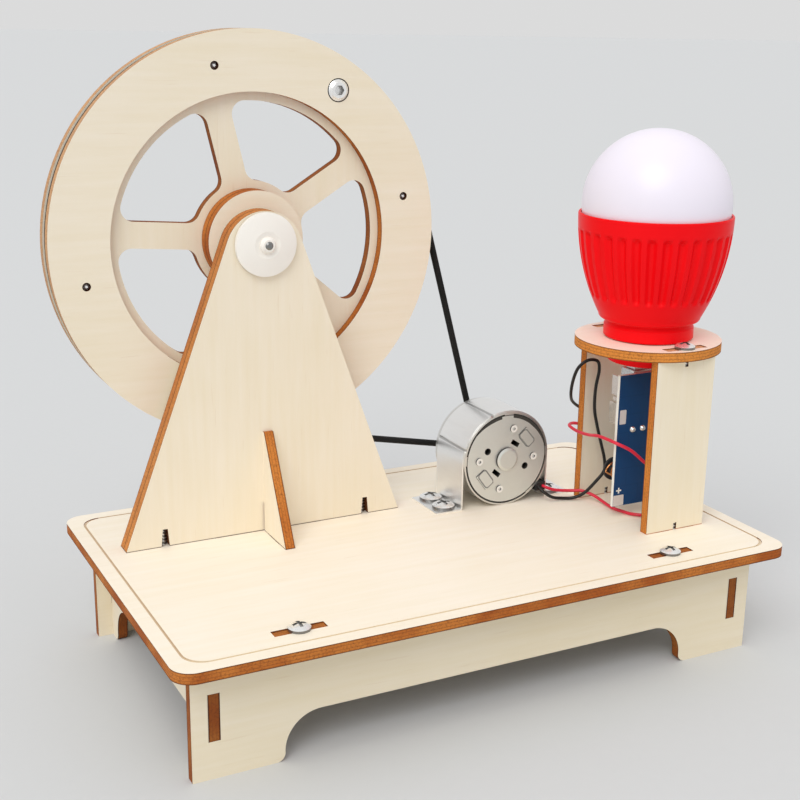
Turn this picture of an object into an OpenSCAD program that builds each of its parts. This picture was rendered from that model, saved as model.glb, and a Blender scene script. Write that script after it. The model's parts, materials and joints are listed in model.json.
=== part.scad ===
// Hand crank generator: a spoked plywood wheel drives a small flat motor through a round belt,
// and the current lights a USB bulb on a plywood stand. Millimetres, +Z up, +X along the deck
// towards the lamp, +Y to the crank side. The origin lies on the floor under the middle of the
// whole object; the boards are laid out from the middle of the deck and shifted once.

/* [Plywood base] */
// Thickness of every plywood board
board_t = 3.2; // [3:0.1:3.6]
// Length of the deck
deck_l = 200; // [192:1:212]
// Width of the deck
deck_w = 120; // [112:1:130]
// Corner radius of the deck
deck_corner_r = 6; // [3:0.5:9]
// Distance of the engraved line from the edge of the deck
engrave_inset = 4.4; // [3:0.2:5]
// Width of the engraved line
engrave_w = 0.6; // [0.4:0.1:1]
// Depth of the engraved line
engrave_d = 0.3; // [0.2:0.05:0.6]
// Height of the boards that carry the deck
apron_h = 34.4; // [30:0.2:40]
// Length of the front and rear boards
apron_l = 187; // [180:1:190]
// Distance of the front and rear boards from the edge of the deck
apron_inset = 10.4; // [8:0.2:12]
// Length of a foot along the front and rear boards
apron_foot_l = 26.4; // [22:0.2:30]
// Length of a foot along the end boards
end_foot_l = 6; // [5:0.2:9]
// Height of the arches between the feet
arch_h = 13.7; // [12:0.1:16]
// Radius of the arches' upper corners
arch_r = 10.6; // [6:0.2:11.6]
// Radius of the feet's inner corners
foot_corner_r = 2.5; // [1:0.1:3]
// Distance of an end board's middle from the end of the front board
end_inset = 6.4; // [5:0.2:9]
// Height of the end boards' tenons above the floor
tenon_z = 11.2; // [9:0.2:12]
// Height of the end boards' tenons
tenon_h = 13.7; // [10:0.1:15]

/* [Board screws] */
// Distance of the deck screws from the middle of the deck
deck_screw_x = 62.1; // [56:0.1:66]
// Distance of the tabs beside a screw from that screw
tab_pitch = 5; // [4.6:0.1:6]
// Length of a tab
tab_l = 5.2; // [4:0.1:5.4]
// How far a tab ends below the face it comes through
tab_low = 0.3; // [0.1:0.1:0.8]
// Radius of a board screw's head
screw_head_r = 3.2; // [2.8:0.1:3.5]
// Height of a board screw's head
screw_head_h = 1.9; // [1.5:0.1:2.4]
// Radius of a board screw's shank
screw_shank_r = 1.2; // [1:0.05:1.3]
// Length of a board screw's shank
screw_shank_l = 12; // [10:0.5:14]

/* [Wheel stand] */
// Position of the wheel along the deck
wheel_x = -43; // [-46:0.5:-40]
// Height of the axle above the deck
axle_h = 91.9; // [84:0.1:98]
// Front face of the stand, from the middle of the deck
stand_y = 22.6; // [18:0.2:24]
// Half the width of the stand at the deck
stand_half_w = 46.4; // [44:0.2:48]
// Radius of the stand's rounded top
stand_top_r = 12.4; // [11:0.1:14]
// Height of the stand's top above the axle
stand_top_h = 10; // [9:0.1:12]
// Width of the stand's tenon in the deck
stand_tenon_w = 36; // [28:1:44]
// Distance of the stand's screws from its middle
stand_screw_x = 34; // [29:0.1:36]
// Width of a screw slot at the deck
slot_low_w = 2.8; // [2.4:0.1:3.4]
// Width of a screw slot at its top
slot_top_w = 1.6; // [1.2:0.1:2]
// Height of a screw slot in the stand
slot_h = 5.7; // [4:0.1:7]
// Length of the brace along the deck
brace_l = 18.2; // [15:0.2:18.8]
// Height of the brace
brace_h = 33; // [26:0.5:40]
// Width of the brace's top
brace_top_w = 1; // [0.6:0.1:2]
// Height of the relief behind the brace's foot
brace_relief_h = 9.5; // [6:0.5:12]
// Width of the relief behind the brace's foot
brace_relief_w = 0.6; // [0.4:0.1:1]
// Length of the brace's tenon in the deck
brace_tenon_l = 8; // [6:0.5:10]

/* [Wheel] */
// Radius of the axle
axle_r = 1.25; // [1.2:0.05:2]
// Radius of the white caps on the axle
cap_r = 9.7; // [8:0.1:10.5]
// Thickness of the white caps
cap_t = 2.6; // [2:0.1:3.2]
// Outer radius of the wheel
wheel_r = 62.5; // [58:0.5:64]
// Inner radius of the wheel's two rings
ring_inner_r = 44.3; // [42:0.1:46]
// Radius of the hub discs
hub_r = 15.3; // [13:0.1:17]
// Outer radius of the windows in the spoke disc
window_r = 41.6; // [38:0.1:43]
// Radius of the spoke disc's middle
spoke_hub_r = 17.8; // [17.2:0.1:20]
// Number of spokes
spoke_count = 5; // [4:1:6]
// Width of a spoke
spoke_w = 8; // [6:0.2:10]
// Direction of the first spoke
spoke_turn = 31.5; // [0:0.5:60]
// Radius of the windows' corners
window_corner_r = 4; // [2:0.1:4.6]
// Distance of the ring screws and of the crank from the axle
crank_r = 53; // [50:0.2:54.5]
// Direction of the first ring screw
ring_screw_turn = 12; // [0:1:40]
// Number of ring screws
ring_screw_count = 4; // [3:1:4]

/* [Crank] */
// Radius of the crank bolt's shank
bolt_r = 1.5; // [1.2:0.05:2]
// Radius of the crank bolt's head
bolt_head_r = 3.3; // [2.8:0.1:3.6]
// Height of the crank bolt's head
bolt_head_h = 4; // [3.4:0.1:4.4]
// Direction of the crank on the wheel
crank_turn = 57; // [50:1:80]
// Thickness of the nut behind the wheel
nut_h = 2.4; // [2:0.1:3]
// Thickness of the nut at the end of the bolt
end_nut_h = 2.6; // [2:0.1:3]
// Width of the nuts across their flats
nut_w = 5.5; // [5:0.1:6]
// Radius of the wooden grip
grip_r = 5.5; // [4.5:0.1:7]
// Length of the wooden grip
grip_l = 27.8; // [22:0.2:34]
// Radius of the grip's rounded ends
grip_end_r = 1.8; // [0.8:0.1:2.5]

/* [Belt and pulley] */
// Thickness of the round belt
belt_d = 2.2; // [1.8:0.1:2.4]
// Depth of the wheel's groove
groove_d = 2.6; // [2.2:0.1:3]
// Radius of the pulley's groove
pulley_groove_r = 1.75; // [1.6:0.05:2.5]
// Radius of the pulley's flanges
pulley_r = 4.4; // [4:0.1:5]
// Thickness of a pulley flange
flange_t = 1.1; // [0.8:0.1:1.4]

/* [Motor] */
// Position of the motor along the deck
motor_x = 38; // [34:0.5:40]
// Front end of the motor, from the middle of the deck
motor_y = 10.5; // [9:0.1:12]
// Radius of the motor's can
can_r = 16.2; // [15:0.1:17]
// Length of the motor's can
can_l = 20; // [18.6:0.2:20]
// Wall of the motor's can
can_wall = 0.5; // [0.4:0.05:0.6]
// Radius of the motor's bearing bosses
boss_r = 4; // [3.6:0.1:4.4]
// Length of the front bearing boss
boss_l = 1.2; // [1:0.1:1.6]
// Length of the rear bearing boss
rear_boss_l = 1.5; // [1:0.1:2]
// Radius of the motor shaft
shaft_r = 1; // [0.8:0.05:1.2]
// Distance of the end cap's stakes from the shaft
stake_ring_r = 10.6; // [10:0.1:11.4]
// Radius of the end cap's stakes
stake_r = 1.3; // [1:0.1:1.5]

/* [Motor strap] */
// Thickness of the strap
strap_t = 0.5; // [0.4:0.1:0.8]
// Width of the strap along the motor
strap_w = 17.4; // [15:0.2:18]
// Length of a strap foot
strap_foot_l = 9.6; // [9.2:0.2:11]
// Distance between the two screws of a foot
strap_screw_pitch = 9; // [8.4:0.2:9.2]
// Radius of a strap screw's head
strap_head_r = 3.8; // [3.2:0.1:4]

/* [Lamp stand] */
// Middle of the lamp along the deck
lamp_x = 75.8; // [72:0.2:76.4]
// Middle of the lamp across the deck
lamp_y = -12.4; // [-14:0.2:-10]
// Height of the lamp posts
post_h = 56.8; // [54:0.2:62]
// Width of the lamp posts
post_w = 22.5; // [21:0.1:23.5]
// Distance of a post's middle from the middle of the lamp
post_off = 18.8; // [18.2:0.1:19]
// Radius of the lamp disc
disc_r = 23.5; // [23.3:0.1:23.6]
// Width of the screw slots in the posts
post_slot_w = 1.2; // [1:0.1:1.8]
// Height of the screw slots in the posts
post_slot_h = 2.4; // [1.8:0.1:3.4]

/* [Bulb] */
// Radius of the bulb's neck in the disc
neck_r = 12.7; // [11.5:0.1:13.4]
// Length of the neck below the disc
neck_below = 4.6; // [3:0.1:6]
// Radius of the ring that stands on the disc
collar_r = 14.4; // [14:0.1:15.2]
// Height of the ring that stands on the disc
collar_h = 4.1; // [3:0.1:6]
// Depth of the groove above the ring
collar_groove_d = 0.5; // [0.3:0.1:1]
// Width of the groove above the ring
collar_groove_h = 1.6; // [1:0.1:2]
// Radius of the cup at its rim
cup_r = 24.4; // [23:0.1:26]
// Height of the cup
cup_h = 33.9; // [30:0.1:38]
// Radius of the cup's curved side
cup_curve_r = 69.7; // [66:0.1:90]
// Number of grooves round the cup
cup_groove_count = 28; // [20:1:30]
// Part of the spacing that a groove takes
cup_groove_share = 0.28; // [0.2:0.02:0.5]
// Depth of the grooves
cup_groove_d = 0.8; // [0.5:0.1:1]
// Height of the grooves
cup_groove_h = 25; // [20:0.5:27]
// Height of the grooves' lower end above the cup's
cup_groove_z = 3; // [2:0.1:5]
// Thickness of the cup's rim outside the dome
rim_wall = 0.8; // [0.6:0.1:1]
// Height of the dome above the rim
dome_h = 26.4; // [22:0.1:27]
// Wall of the dome
dome_wall = 1.4; // [1:0.1:2]
// Thickness of the board with the lamps
led_t = 1.6; // [1:0.1:2]

/* [Plug, socket and board] */
// Width of the plug's shell
plug_w = 12; // [11.8:0.1:12.2]
// Thickness of the plug's shell
plug_d = 4.5; // [4.3:0.1:4.7]
// Length of the plug's shell
plug_l = 13.8; // [12:0.1:15]
// Sheet of the plug's shell
plug_wall = 0.4; // [0.3:0.05:0.5]
// Wall of the socket
socket_wall = 0.8; // [0.6:0.05:1]
// Length of the socket
socket_l = 13.6; // [12:0.1:15]
// Gap between the neck and the socket
socket_gap = 2.6; // [1.5:0.1:4]
// Width of the circuit board
pcb_w = 26.6; // [23:0.1:27]
// Height of the circuit board
pcb_h = 44.6; // [42:0.1:45.4]
// Thickness of the circuit board
pcb_t = 1.2; // [1:0.1:2]
// How far the board's top lies below the socket's mouth
pcb_low = 0.6; // [0.2:0.1:2]
// Radius of the inductor's flanges
inductor_r = 3.9; // [3.6:0.1:4.2]
// Thickness of the inductor's flanges
inductor_flange_t = 0.9; // [0.7:0.1:1.2]
// Radius of the inductor's middle
inductor_core_r = 2.2; // [1.8:0.1:2.4]
// Radius of the inductor's wire
coil_wire_r = 0.3; // [0.2:0.02:0.32]
// Rise of the inductor's wire in one turn
coil_pitch = 1.05; // [1.04:0.01:1.4]
// Radius of the two wires from the motor
wire_r = 0.55; // [0.4:0.05:0.7]

/* [Clearances] */
// Room on each side of a tab or tenon in its slot
slot_play = 0.1; // [0.05:0.01:0.2]
// Room round a part that is pressed or screwed in
press_play = 0.01; // [0:0.01:0.03]
// Room round a shaft or bolt that turns in its bore
run_play = 0.05; // [0.03:0.01:0.08]
// Room between faces that move past each other
face_gap = 0.4; // [0.3:0.05:0.6]
// Room between the belt and the pulleys
belt_gap = 0.32; // [0.3:0.01:0.4]
// Room round the bulb and its plug
bulb_gap = 0.3; // [0.25:0.05:0.4]

/* [Hidden] */
$fn = 96;
cut = 1;

deck_top = apron_h + board_t;
apron_y = deck_w / 2 - apron_inset - board_t / 2;
end_x = apron_l / 2 - end_inset;
end_half = apron_y - board_t / 2;

// The layers of the wheel, from the stand to the crank
seam_y = stand_y + board_t;
hub_y = stand_y + 2 * board_t + face_gap;
ring_y = hub_y + board_t;
disc_y = ring_y + board_t;
rear_ring_y = disc_y + board_t;
wheel_back = rear_ring_y + board_t;
grip_y = wheel_back + nut_h + face_gap;
end_nut_y = grip_y + grip_l + face_gap;
crank_end = end_nut_y + end_nut_h;
axle_z = deck_top + axle_h;

// The belt's plane, its two radii and the directions where it leaves the wheels
belt_y = disc_y + board_t / 2;
groove_r = wheel_r - groove_d;
belt_wheel_r = groove_r + belt_gap + belt_d / 2;
belt_motor_r = pulley_groove_r + belt_gap + belt_d / 2;
motor_z = deck_top + can_r;
centres = [motor_x - wheel_x, motor_z - axle_z];
centre_turn = atan2(centres[1], centres[0]);
wrap_turn = acos((belt_wheel_r - belt_motor_r) / norm(centres));

// The motor's layers along its shaft
cap_plate_t = 2 * can_wall;
cap_step = 0.7 * can_wall;
brush_plate_t = 3.2 * can_wall;
can_in_r = can_r - can_wall;
cap_back = motor_y + cap_plate_t;
can_back = motor_y + can_l;
bearing_r = 0.65 * boss_r;
magnet_t = 4.4 * can_wall;
core_r = can_in_r - magnet_t - 2 * face_gap;
core_y = cap_back + 0.225 * can_l;
core_l = can_back - can_wall - 0.15 * can_l - core_y;
commutator_l = 0.6 * boss_r;
pulley_w = belt_d + 2 * (2 * belt_gap + flange_t);
pulley_y = belt_y - pulley_w / 2;
strap_y = motor_y + 1.2 * can_wall;
strap_in_r = can_r + press_play;
strap_foot_x = strap_in_r + strap_t + strap_head_r + 0.3;

// The lamp from the disc down to the board and up to the dome
disc_z = deck_top + post_h;
disc_top = disc_z + board_t;
neck_z = disc_z - neck_below;
collar_z = disc_top + bulb_gap;
cup_z = collar_z + collar_h + collar_groove_h;
rim_z = cup_z + cup_h;
dome_r = cup_r - rim_wall - 0.1;
dome_z = rim_z + dome_h - dome_r;
dome_seat_z = rim_z - 2.2;
led_z = dome_seat_z - led_t;
socket_z = neck_z - socket_gap;
socket_w = plug_w + 2 * (bulb_gap + socket_wall);
socket_d = plug_d + 2 * (bulb_gap + socket_wall);
pcb_back = lamp_y - socket_d / 2;
pcb_z = socket_z - pcb_low - pcb_h;
inductor_at = [lamp_x - 0.43 * pcb_w + inductor_r, pcb_z + 10];
coil_r = inductor_core_r + coil_wire_r + 0.4;
coil_turns = 4.5;
coil_l = coil_turns * coil_pitch;
coil_y = inductor_flange_t + coil_wire_r + 0.3;
inductor_l = 2 * coil_y + coil_l;
lead_r = inductor_r + coil_wire_r + 0.4;
loop_rings = 24;

// The middle of the whole object on the floor
mid_x = (min(-deck_l / 2, wheel_x - wheel_r) + max(deck_l / 2, lamp_x + disc_r)) / 2;
mid_y = (crank_end - deck_w / 2) / 2;

// The wires start at the motor's terminals and end at the pads on the back of the circuit board
terminal_at = [motor_x + 13.5, motor_z - 11.5];
red_route = [
    [52.6, 9.8, 42.3], [53.2, 8.4, 42], [56, 7.4, 41], [60, 6, 40.6], [62.5, 4.6, 40.7], [64.5, 3, 40.8],
    [67, 0, 39.8], [68, -4, 38.8], [68, -9, 38.4], [69, -14, 38.4], [71, -18, 38.4], [75, -21, 38.8],
    [78.5, -23.5, 42], [78, -24, 48], [74.5, -23, 54.5], [70.5, -21.5, 58], [66, -20.5, 62], [61.5, -18.5, 64.5],
    [60, -11, 65], [60.5, -4, 63.5], [60.8, 3, 62.8], [61.5, 8.5, 63.2], [65, 10.4, 63], [72, 10.4, 61],
    [80, 10.4, 58], [86, 10, 55], [89, 6, 52.5], [89, 0, 50], [86, -6, 47.5], [81, -10, 46], [78, -12.6, 45.5],
];
black_route = [
    [50.8, 9.8, 42.3], [51.2, 7.6, 41.2], [54, 5.8, 39.2], [58, 5.2, 38.4], [61.5, 3.6, 38.6], [64.5, 1.8, 40.5],
    [68, 0.5, 44.5], [70.8, 0, 48], [70.8, 0, 52], [69, 0, 58], [66.8, 0, 65], [65.4, 0, 71], [65.4, 0, 78],
    [66.4, 0, 84], [65.8, 0.4, 87.2], [62.5, 1.2, 87.6], [59.8, 2.6, 85], [59.6, 5, 80], [61.5, 8.5, 74],
    [65, 11.6, 70], [71, 12.6, 66], [79, 12.6, 60.5], [87, 12, 55.5], [91.4, 8, 52.5], [91.4, 1, 50],
    [89, -6, 47.5], [85.5, -10.5, 46], [83, -12.6, 45.5],
];

module at_frame() translate([-mid_x, -mid_y, 0]) children();

// A board in the XZ plane with its front face at y
module upright(y, t = board_t) translate([0, y + t, 0]) rotate([90, 0, 0]) linear_extrude(t) children();

// A board in the YZ plane with its middle at x
module crosswise(x) translate([x, 0, 0]) rotate([90, 0, 90]) linear_extrude(board_t, center = true) children();

// A round body about a line along +Y through [x, z], starting at y
module along_y(at, y) translate([at[0], y, at[1]]) rotate([-90, 0, 0]) children();

module around(count, first, r) for (i = [0 : count - 1]) rotate(first + i * 360 / count) translate([r, 0]) children();

module rounded_plate(l, w, r) {
    square([l - 2 * r, w], center = true);
    square([l, w - 2 * r], center = true);
    for (sx = [-1, 1], sy = [-1, 1]) translate([sx * (l / 2 - r), sy * (w / 2 - r)]) circle(r);
}

// The opening between two feet, with its upper corners rounded and the feet's inner corners eased
module arch(half_w) {
    translate([-half_w, -cut]) square([2 * half_w, arch_h - arch_r + cut]);
    translate([arch_r - half_w, 0]) square([2 * (half_w - arch_r), arch_h]);
    for (s = [-1, 1]) {
        translate([s * (half_w - arch_r), arch_h - arch_r]) circle(arch_r);
        difference() {
            translate([s * (half_w + foot_corner_r / 2), 0]) square([foot_corner_r, 2 * foot_corner_r], center = true);
            translate([s * (half_w + foot_corner_r), foot_corner_r]) circle(foot_corner_r);
        }
    }
}

// A tab of one board, or with play the slot that it goes through
module tab_pair(play = 0) for (s = [-1, 1])
    translate([s * tab_pitch - tab_l / 2 - play, -play]) square([tab_l + 2 * play, board_t + 2 * play]);

module tab_slots() linear_extrude(board_t + 2 * cut) translate([0, -board_t / 2]) tab_pair(slot_play);

// A screw that points down, with the underside of its head at the origin
module screw(head_r, head_h, shank_r, shank_l) {
    rim = 0.4 * head_h;
    crown_r = (pow(head_r, 2) + pow(head_h - rim, 2)) / (2 * (head_h - rim));
    difference() {
        intersection() {
            cylinder(r = head_r, h = head_h);
            translate([0, 0, head_h - crown_r]) sphere(crown_r);
        }
        for (a = [0, 90]) rotate(a) translate([0, 0, head_h]) cube([1.2 * head_r, 0.3 * head_r, head_h], center = true);
    }
    translate([0, 0, -shank_l]) cylinder(r = shank_r, h = shank_l);
    translate([0, 0, -shank_l - shank_r]) cylinder(r1 = 0.3 * shank_r, r2 = shank_r, h = shank_r);
}

module board_screw() screw(screw_head_r, screw_head_h, screw_shank_r, screw_shank_l);

// The bore that a board screw cuts in the edge of a board, measured from the face under its head
module screw_bore(play = press_play) translate([0, 0, -screw_shank_l - screw_shank_r])
    cylinder(r = screw_shank_r + play, h = screw_shank_l + screw_shank_r + cut);

// The room that a screw's head needs in a board beside it
module head_room() translate([0, 0, -cut])
    cylinder(r = screw_head_r + face_gap, h = screw_head_h + face_gap + cut);

module deck_screw_places() for (sx = [-1, 1], sy = [-1, 1])
    translate([sx * deck_screw_x, sy * apron_y, deck_top]) children();

// The stand's screws come up through the deck into the seam of the two boards
module stand_screw_places() for (s = [-1, 1])
    translate([wheel_x + s * stand_screw_x, seam_y, apron_h]) rotate([180, 0, 0]) children();

module post_screw_places() for (s = [-1, 1])
    translate([lamp_x, lamp_y + s * post_off, apron_h]) rotate([180, 0, 0]) children();

module disc_screw_places() for (s = [-1, 1]) translate([lamp_x, lamp_y + s * post_off, disc_top]) children();

module strap_screw_places() for (sx = [-1, 1], sy = [-1, 1])
    translate([motor_x + sx * strap_foot_x, motor_y + can_l / 2 + sy * strap_screw_pitch / 2, deck_top + strap_t])
        children();

module deck_plate() at_frame() color("wheat") difference() {
    translate([0, 0, apron_h]) linear_extrude(board_t) rounded_plate(deck_l, deck_w, deck_corner_r);
    translate([0, 0, deck_top - engrave_d]) linear_extrude(engrave_d + cut) difference() {
        rounded_plate(deck_l - 2 * engrave_inset, deck_w - 2 * engrave_inset, deck_corner_r);
        rounded_plate(deck_l - 2 * (engrave_inset + engrave_w), deck_w - 2 * (engrave_inset + engrave_w),
            deck_corner_r);
    }
    deck_screw_places() {
        screw_bore(slot_play);
        translate([0, 0, -board_t - cut]) tab_slots();
    }
    stand_screw_places() screw_bore(slot_play);
    post_screw_places() {
        screw_bore(slot_play);
        translate([0, 0, -board_t - cut]) tab_slots();
    }
    strap_screw_places() screw_bore();
    translate([wheel_x - stand_tenon_w / 2 - slot_play, stand_y - slot_play, apron_h - cut])
        cube([stand_tenon_w + 2 * slot_play, 2 * (board_t + slot_play), board_t + 2 * cut]);
    translate([wheel_x - board_t / 2 - slot_play, stand_y - (brace_l + brace_tenon_l) / 2 - slot_play, apron_h - cut])
        cube([board_t + 2 * slot_play, brace_tenon_l + 2 * slot_play, board_t + 2 * cut]);
}

module apron_outline() difference() {
    union() {
        translate([-apron_l / 2, 0]) square([apron_l, apron_h]);
        for (s = [-1, 1]) translate([s * deck_screw_x, apron_h - tab_low]) tab_pair();
    }
    arch(apron_l / 2 - apron_foot_l);
    for (s = [-1, 1]) translate([s * end_x, tenon_z + tenon_h / 2])
        square([board_t + 2 * slot_play, tenon_h + 2 * slot_play], center = true);
}

module apron(side) difference() {
    upright(side * apron_y - board_t / 2) apron_outline();
    deck_screw_places() screw_bore();
}

module front_apron() at_frame() color("bisque") apron(-1);

module rear_apron() at_frame() color("bisque") apron(1);

module end_outline() difference() {
    union() {
        translate([-end_half, 0]) square([2 * end_half, apron_h]);
        translate([-end_half - board_t, tenon_z]) square([2 * (end_half + board_t), tenon_h]);
    }
    arch(end_half - end_foot_l);
}

// An end board gives way to the screw heads under the deck where it comes close to them
module end_board(side) difference() {
    crosswise(side * end_x) end_outline();
    stand_screw_places() head_room();
    post_screw_places() head_room();
}

module left_end_board() at_frame() color("bisque") end_board(-1);

module right_end_board() at_frame() color("bisque") end_board(1);

module deck_screws() at_frame() color("silver") deck_screw_places() board_screw();

// A triangle whose sides run tangent to its rounded top, on a tenon through the deck
module stand_outline() {
    top = [0, axle_z + stand_top_h - stand_top_r];
    foot = [stand_half_w, deck_top];
    side = top - foot;
    side_turn = atan2(side[1], side[0]) - asin(stand_top_r / norm(side));
    touch = foot + sqrt(side * side - pow(stand_top_r, 2)) * [cos(side_turn), sin(side_turn)];
    difference() {
        union() {
            polygon([foot, touch, [-touch[0], touch[1]], [-foot[0], foot[1]]]);
            translate(top) circle(stand_top_r);
            translate([-stand_tenon_w / 2, apron_h + tab_low]) square([stand_tenon_w, board_t + cut]);
        }
        translate([0, axle_z]) circle(axle_r + run_play);
        for (s = [-1, 1]) translate([s * stand_screw_x, deck_top]) polygon([
            [-slot_low_w / 2, -cut], [slot_low_w / 2, -cut],
            [slot_top_w / 2, slot_h], [-slot_top_w / 2, slot_h],
        ]);
    }
}

module stand_board(y) difference() {
    upright(y) translate([wheel_x, 0]) stand_outline();
    stand_screw_places() screw_bore();
}

module stand_front_board() at_frame() color("navajowhite") stand_board(stand_y);

module stand_rear_board() at_frame() color("navajowhite") stand_board(seam_y);

module stand_brace() at_frame() color("navajowhite") crosswise(wheel_x) translate([stand_y, deck_top]) difference() {
    union() {
        polygon([[-brace_l, 0], [0, 0], [0, brace_h], [-brace_top_w, brace_h]]);
        translate([-(brace_l + brace_tenon_l) / 2, tab_low - board_t]) square([brace_tenon_l, board_t]);
    }
    translate([-brace_relief_w, 0]) square([brace_relief_w + cut, brace_relief_h]);
}

module stand_screws() at_frame() color("silver") stand_screw_places() board_screw();

wheel_at = [wheel_x, axle_z];

axle_out = 1.5 * cap_t;
module axle() at_frame() color("silver") along_y(wheel_at, stand_y - face_gap - axle_out) {
    tip = 0.3 * axle_r;
    length = rear_ring_y + 2 * axle_out + face_gap - stand_y;
    cylinder(r1 = 0.6 * axle_r, r2 = axle_r, h = tip);
    translate([0, 0, tip]) cylinder(r = axle_r, h = length - 2 * tip);
    translate([0, 0, length - tip]) cylinder(r1 = axle_r, r2 = 0.6 * axle_r, h = tip);
}

// A moulded stop: a domed face with a shallow dish, and a nub round the axle's end, which look towards +Z
module axle_cap() difference() {
    crown_r = (pow(cap_r, 2) + pow(cap_t / 2, 2)) / cap_t;
    dish_depth = 0.3 * cap_t;
    dish_r = (pow(0.5 * cap_r, 2) + pow(dish_depth, 2)) / (2 * dish_depth);
    nub_h = 0.35 * cap_t;
    union() {
        difference() {
            intersection() {
                cylinder(r = cap_r, h = cap_t);
                translate([0, 0, cap_t - crown_r]) sphere(crown_r);
            }
            translate([0, 0, cap_t - dish_depth + dish_r]) sphere(dish_r);
        }
        cylinder(r = 2 * axle_r, h = cap_t);
        translate([0, 0, cap_t]) cylinder(r1 = 2 * axle_r, r2 = 1.4 * axle_r, h = nub_h);
    }
    translate([0, 0, -cut]) cylinder(r = axle_r + press_play, h = cap_t + nub_h + 2 * cut);
}

module front_axle_cap() at_frame() color("white")
    along_y(wheel_at, stand_y - face_gap) rotate([180, 0, 0]) axle_cap();

module rear_axle_cap() at_frame() color("white") along_y(wheel_at, rear_ring_y) axle_cap();

module wheel_layer(y) upright(y) translate(wheel_at) children();

module hub_disc(y) wheel_layer(y) difference() {
    circle(hub_r);
    circle(axle_r + press_play);
}

module front_hub_disc() at_frame() color("burlywood") hub_disc(hub_y);

module rear_hub_disc() at_frame() color("burlywood") hub_disc(ring_y);

module rim_holes(crank_hole_r = bolt_r + press_play) {
    around(ring_screw_count, ring_screw_turn, crank_r) circle(screw_shank_r + slot_play);
    rotate(crank_turn) translate([crank_r, 0]) circle(crank_hole_r);
}

module ring(y, crank_hole_r = bolt_r + press_play) wheel_layer(y) difference() {
    circle(wheel_r);
    circle(ring_inner_r);
    rim_holes(crank_hole_r);
}

// The crank bolt's head sits in a wider hole of the front ring
module front_ring() at_frame() color("burlywood") ring(ring_y, 1.1 * bolt_head_r);

module rear_ring() at_frame() color("burlywood") ring(rear_ring_y);

// The rounded corner between a spoke's side s and a circle of radius r; way is 1 on the rim, -1 on the hub
module spoke_corner(r, way, s) {
    f = window_corner_r;
    edge = spoke_w / 2;
    centre = [sqrt(pow(r - way * f, 2) - pow(edge + f, 2)), edge + f];
    touch = centre[1] * r / (r - way * f);
    difference() {
        translate([centre[0] + way * f, s * touch / 2]) square([2 * f, touch], center = true);
        translate([centre[0], s * centre[1]]) circle(f);
    }
}

module spoke_disc() at_frame() color("burlywood") wheel_layer(disc_y) difference() {
    union() {
        difference() {
            circle(groove_r);
            circle(window_r);
        }
        circle(spoke_hub_r);
        for (i = [0 : spoke_count - 1]) rotate(spoke_turn + i * 360 / spoke_count) {
            translate([0, -spoke_w / 2]) square([window_r + cut, spoke_w]);
            for (s = [-1, 1]) {
                spoke_corner(window_r, 1, s);
                spoke_corner(spoke_hub_r, -1, s);
            }
        }
    }
    circle(axle_r + press_play);
    rim_holes();
}

// The ring screws come from the crank side and end inside the front ring
ring_screw_l = 2.6 * board_t;
module ring_screws() at_frame() color("silver") for (i = [0 : ring_screw_count - 1]) {
    turn = ring_screw_turn + i * 360 / ring_screw_count;
    along_y(wheel_at + crank_r * [cos(turn), sin(turn)], wheel_back)
        screw(screw_head_r, screw_head_h, screw_shank_r, ring_screw_l);
}

crank_at = wheel_at + crank_r * [cos(crank_turn), sin(crank_turn)];

// The head rests on the spoke disc, and its bevel stands out of the front ring
module crank_bolt() at_frame() color("silver") along_y(crank_at, disc_y) difference() {
    bevel_h = 0.2 * bolt_head_h;
    union() {
        cylinder(r = bolt_r, h = crank_end - disc_y);
        translate([0, 0, bevel_h - bolt_head_h]) cylinder(r = bolt_head_r, h = bolt_head_h - bevel_h);
        translate([0, 0, -bolt_head_h]) cylinder(r1 = 0.72 * bolt_head_r, r2 = bolt_head_r, h = bevel_h);
    }
    translate([0, 0, -bolt_head_h - cut]) cylinder(r = 0.5 * bolt_head_r, h = 0.4 * bolt_head_h + cut, $fn = 6);
}

module hex_nut(h) difference() {
    cylinder(r = nut_w / sqrt(3), h = h, $fn = 6);
    translate([0, 0, -cut]) cylinder(r = bolt_r + press_play, h = h + 2 * cut);
}

module crank_nut() at_frame() color("silver") along_y(crank_at, wheel_back) hex_nut(nut_h);

module crank_end_nut() at_frame() color("silver") along_y(crank_at, end_nut_y) hex_nut(end_nut_h);

// A turned handle with rounded ends, loose on the bolt
module crank_grip() at_frame() color("peru") along_y(crank_at, grip_y) rotate_extrude() {
    bore_r = bolt_r + run_play;
    translate([bore_r, 0]) square([grip_r - grip_end_r - bore_r, grip_l]);
    translate([bore_r, grip_end_r]) square([grip_r - bore_r, grip_l - 2 * grip_end_r]);
    for (z = [grip_end_r, grip_l - grip_end_r]) translate([grip_r - grip_end_r, z]) circle(grip_end_r);
}

motor_at = [motor_x, motor_z];

// An open belt: one arc round each wheel, and the straight runs between their ends
function belt_arc(at, r, first, sweep, steps) = [
    for (i = [0 : steps]) let (turn = first + sweep * i / steps) [at[0] + r * cos(turn), belt_y, at[1] + r * sin(turn)]
];
belt_path = concat(
    belt_arc(wheel_at, belt_wheel_r, centre_turn + wrap_turn, 360 - 2 * wrap_turn, 48),
    belt_arc(motor_at, belt_motor_r, centre_turn - wrap_turn, 2 * wrap_turn, 10)
);

module drive_belt() at_frame() color("dimgray") tube(belt_path, belt_d / 2, 10, true);

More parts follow.
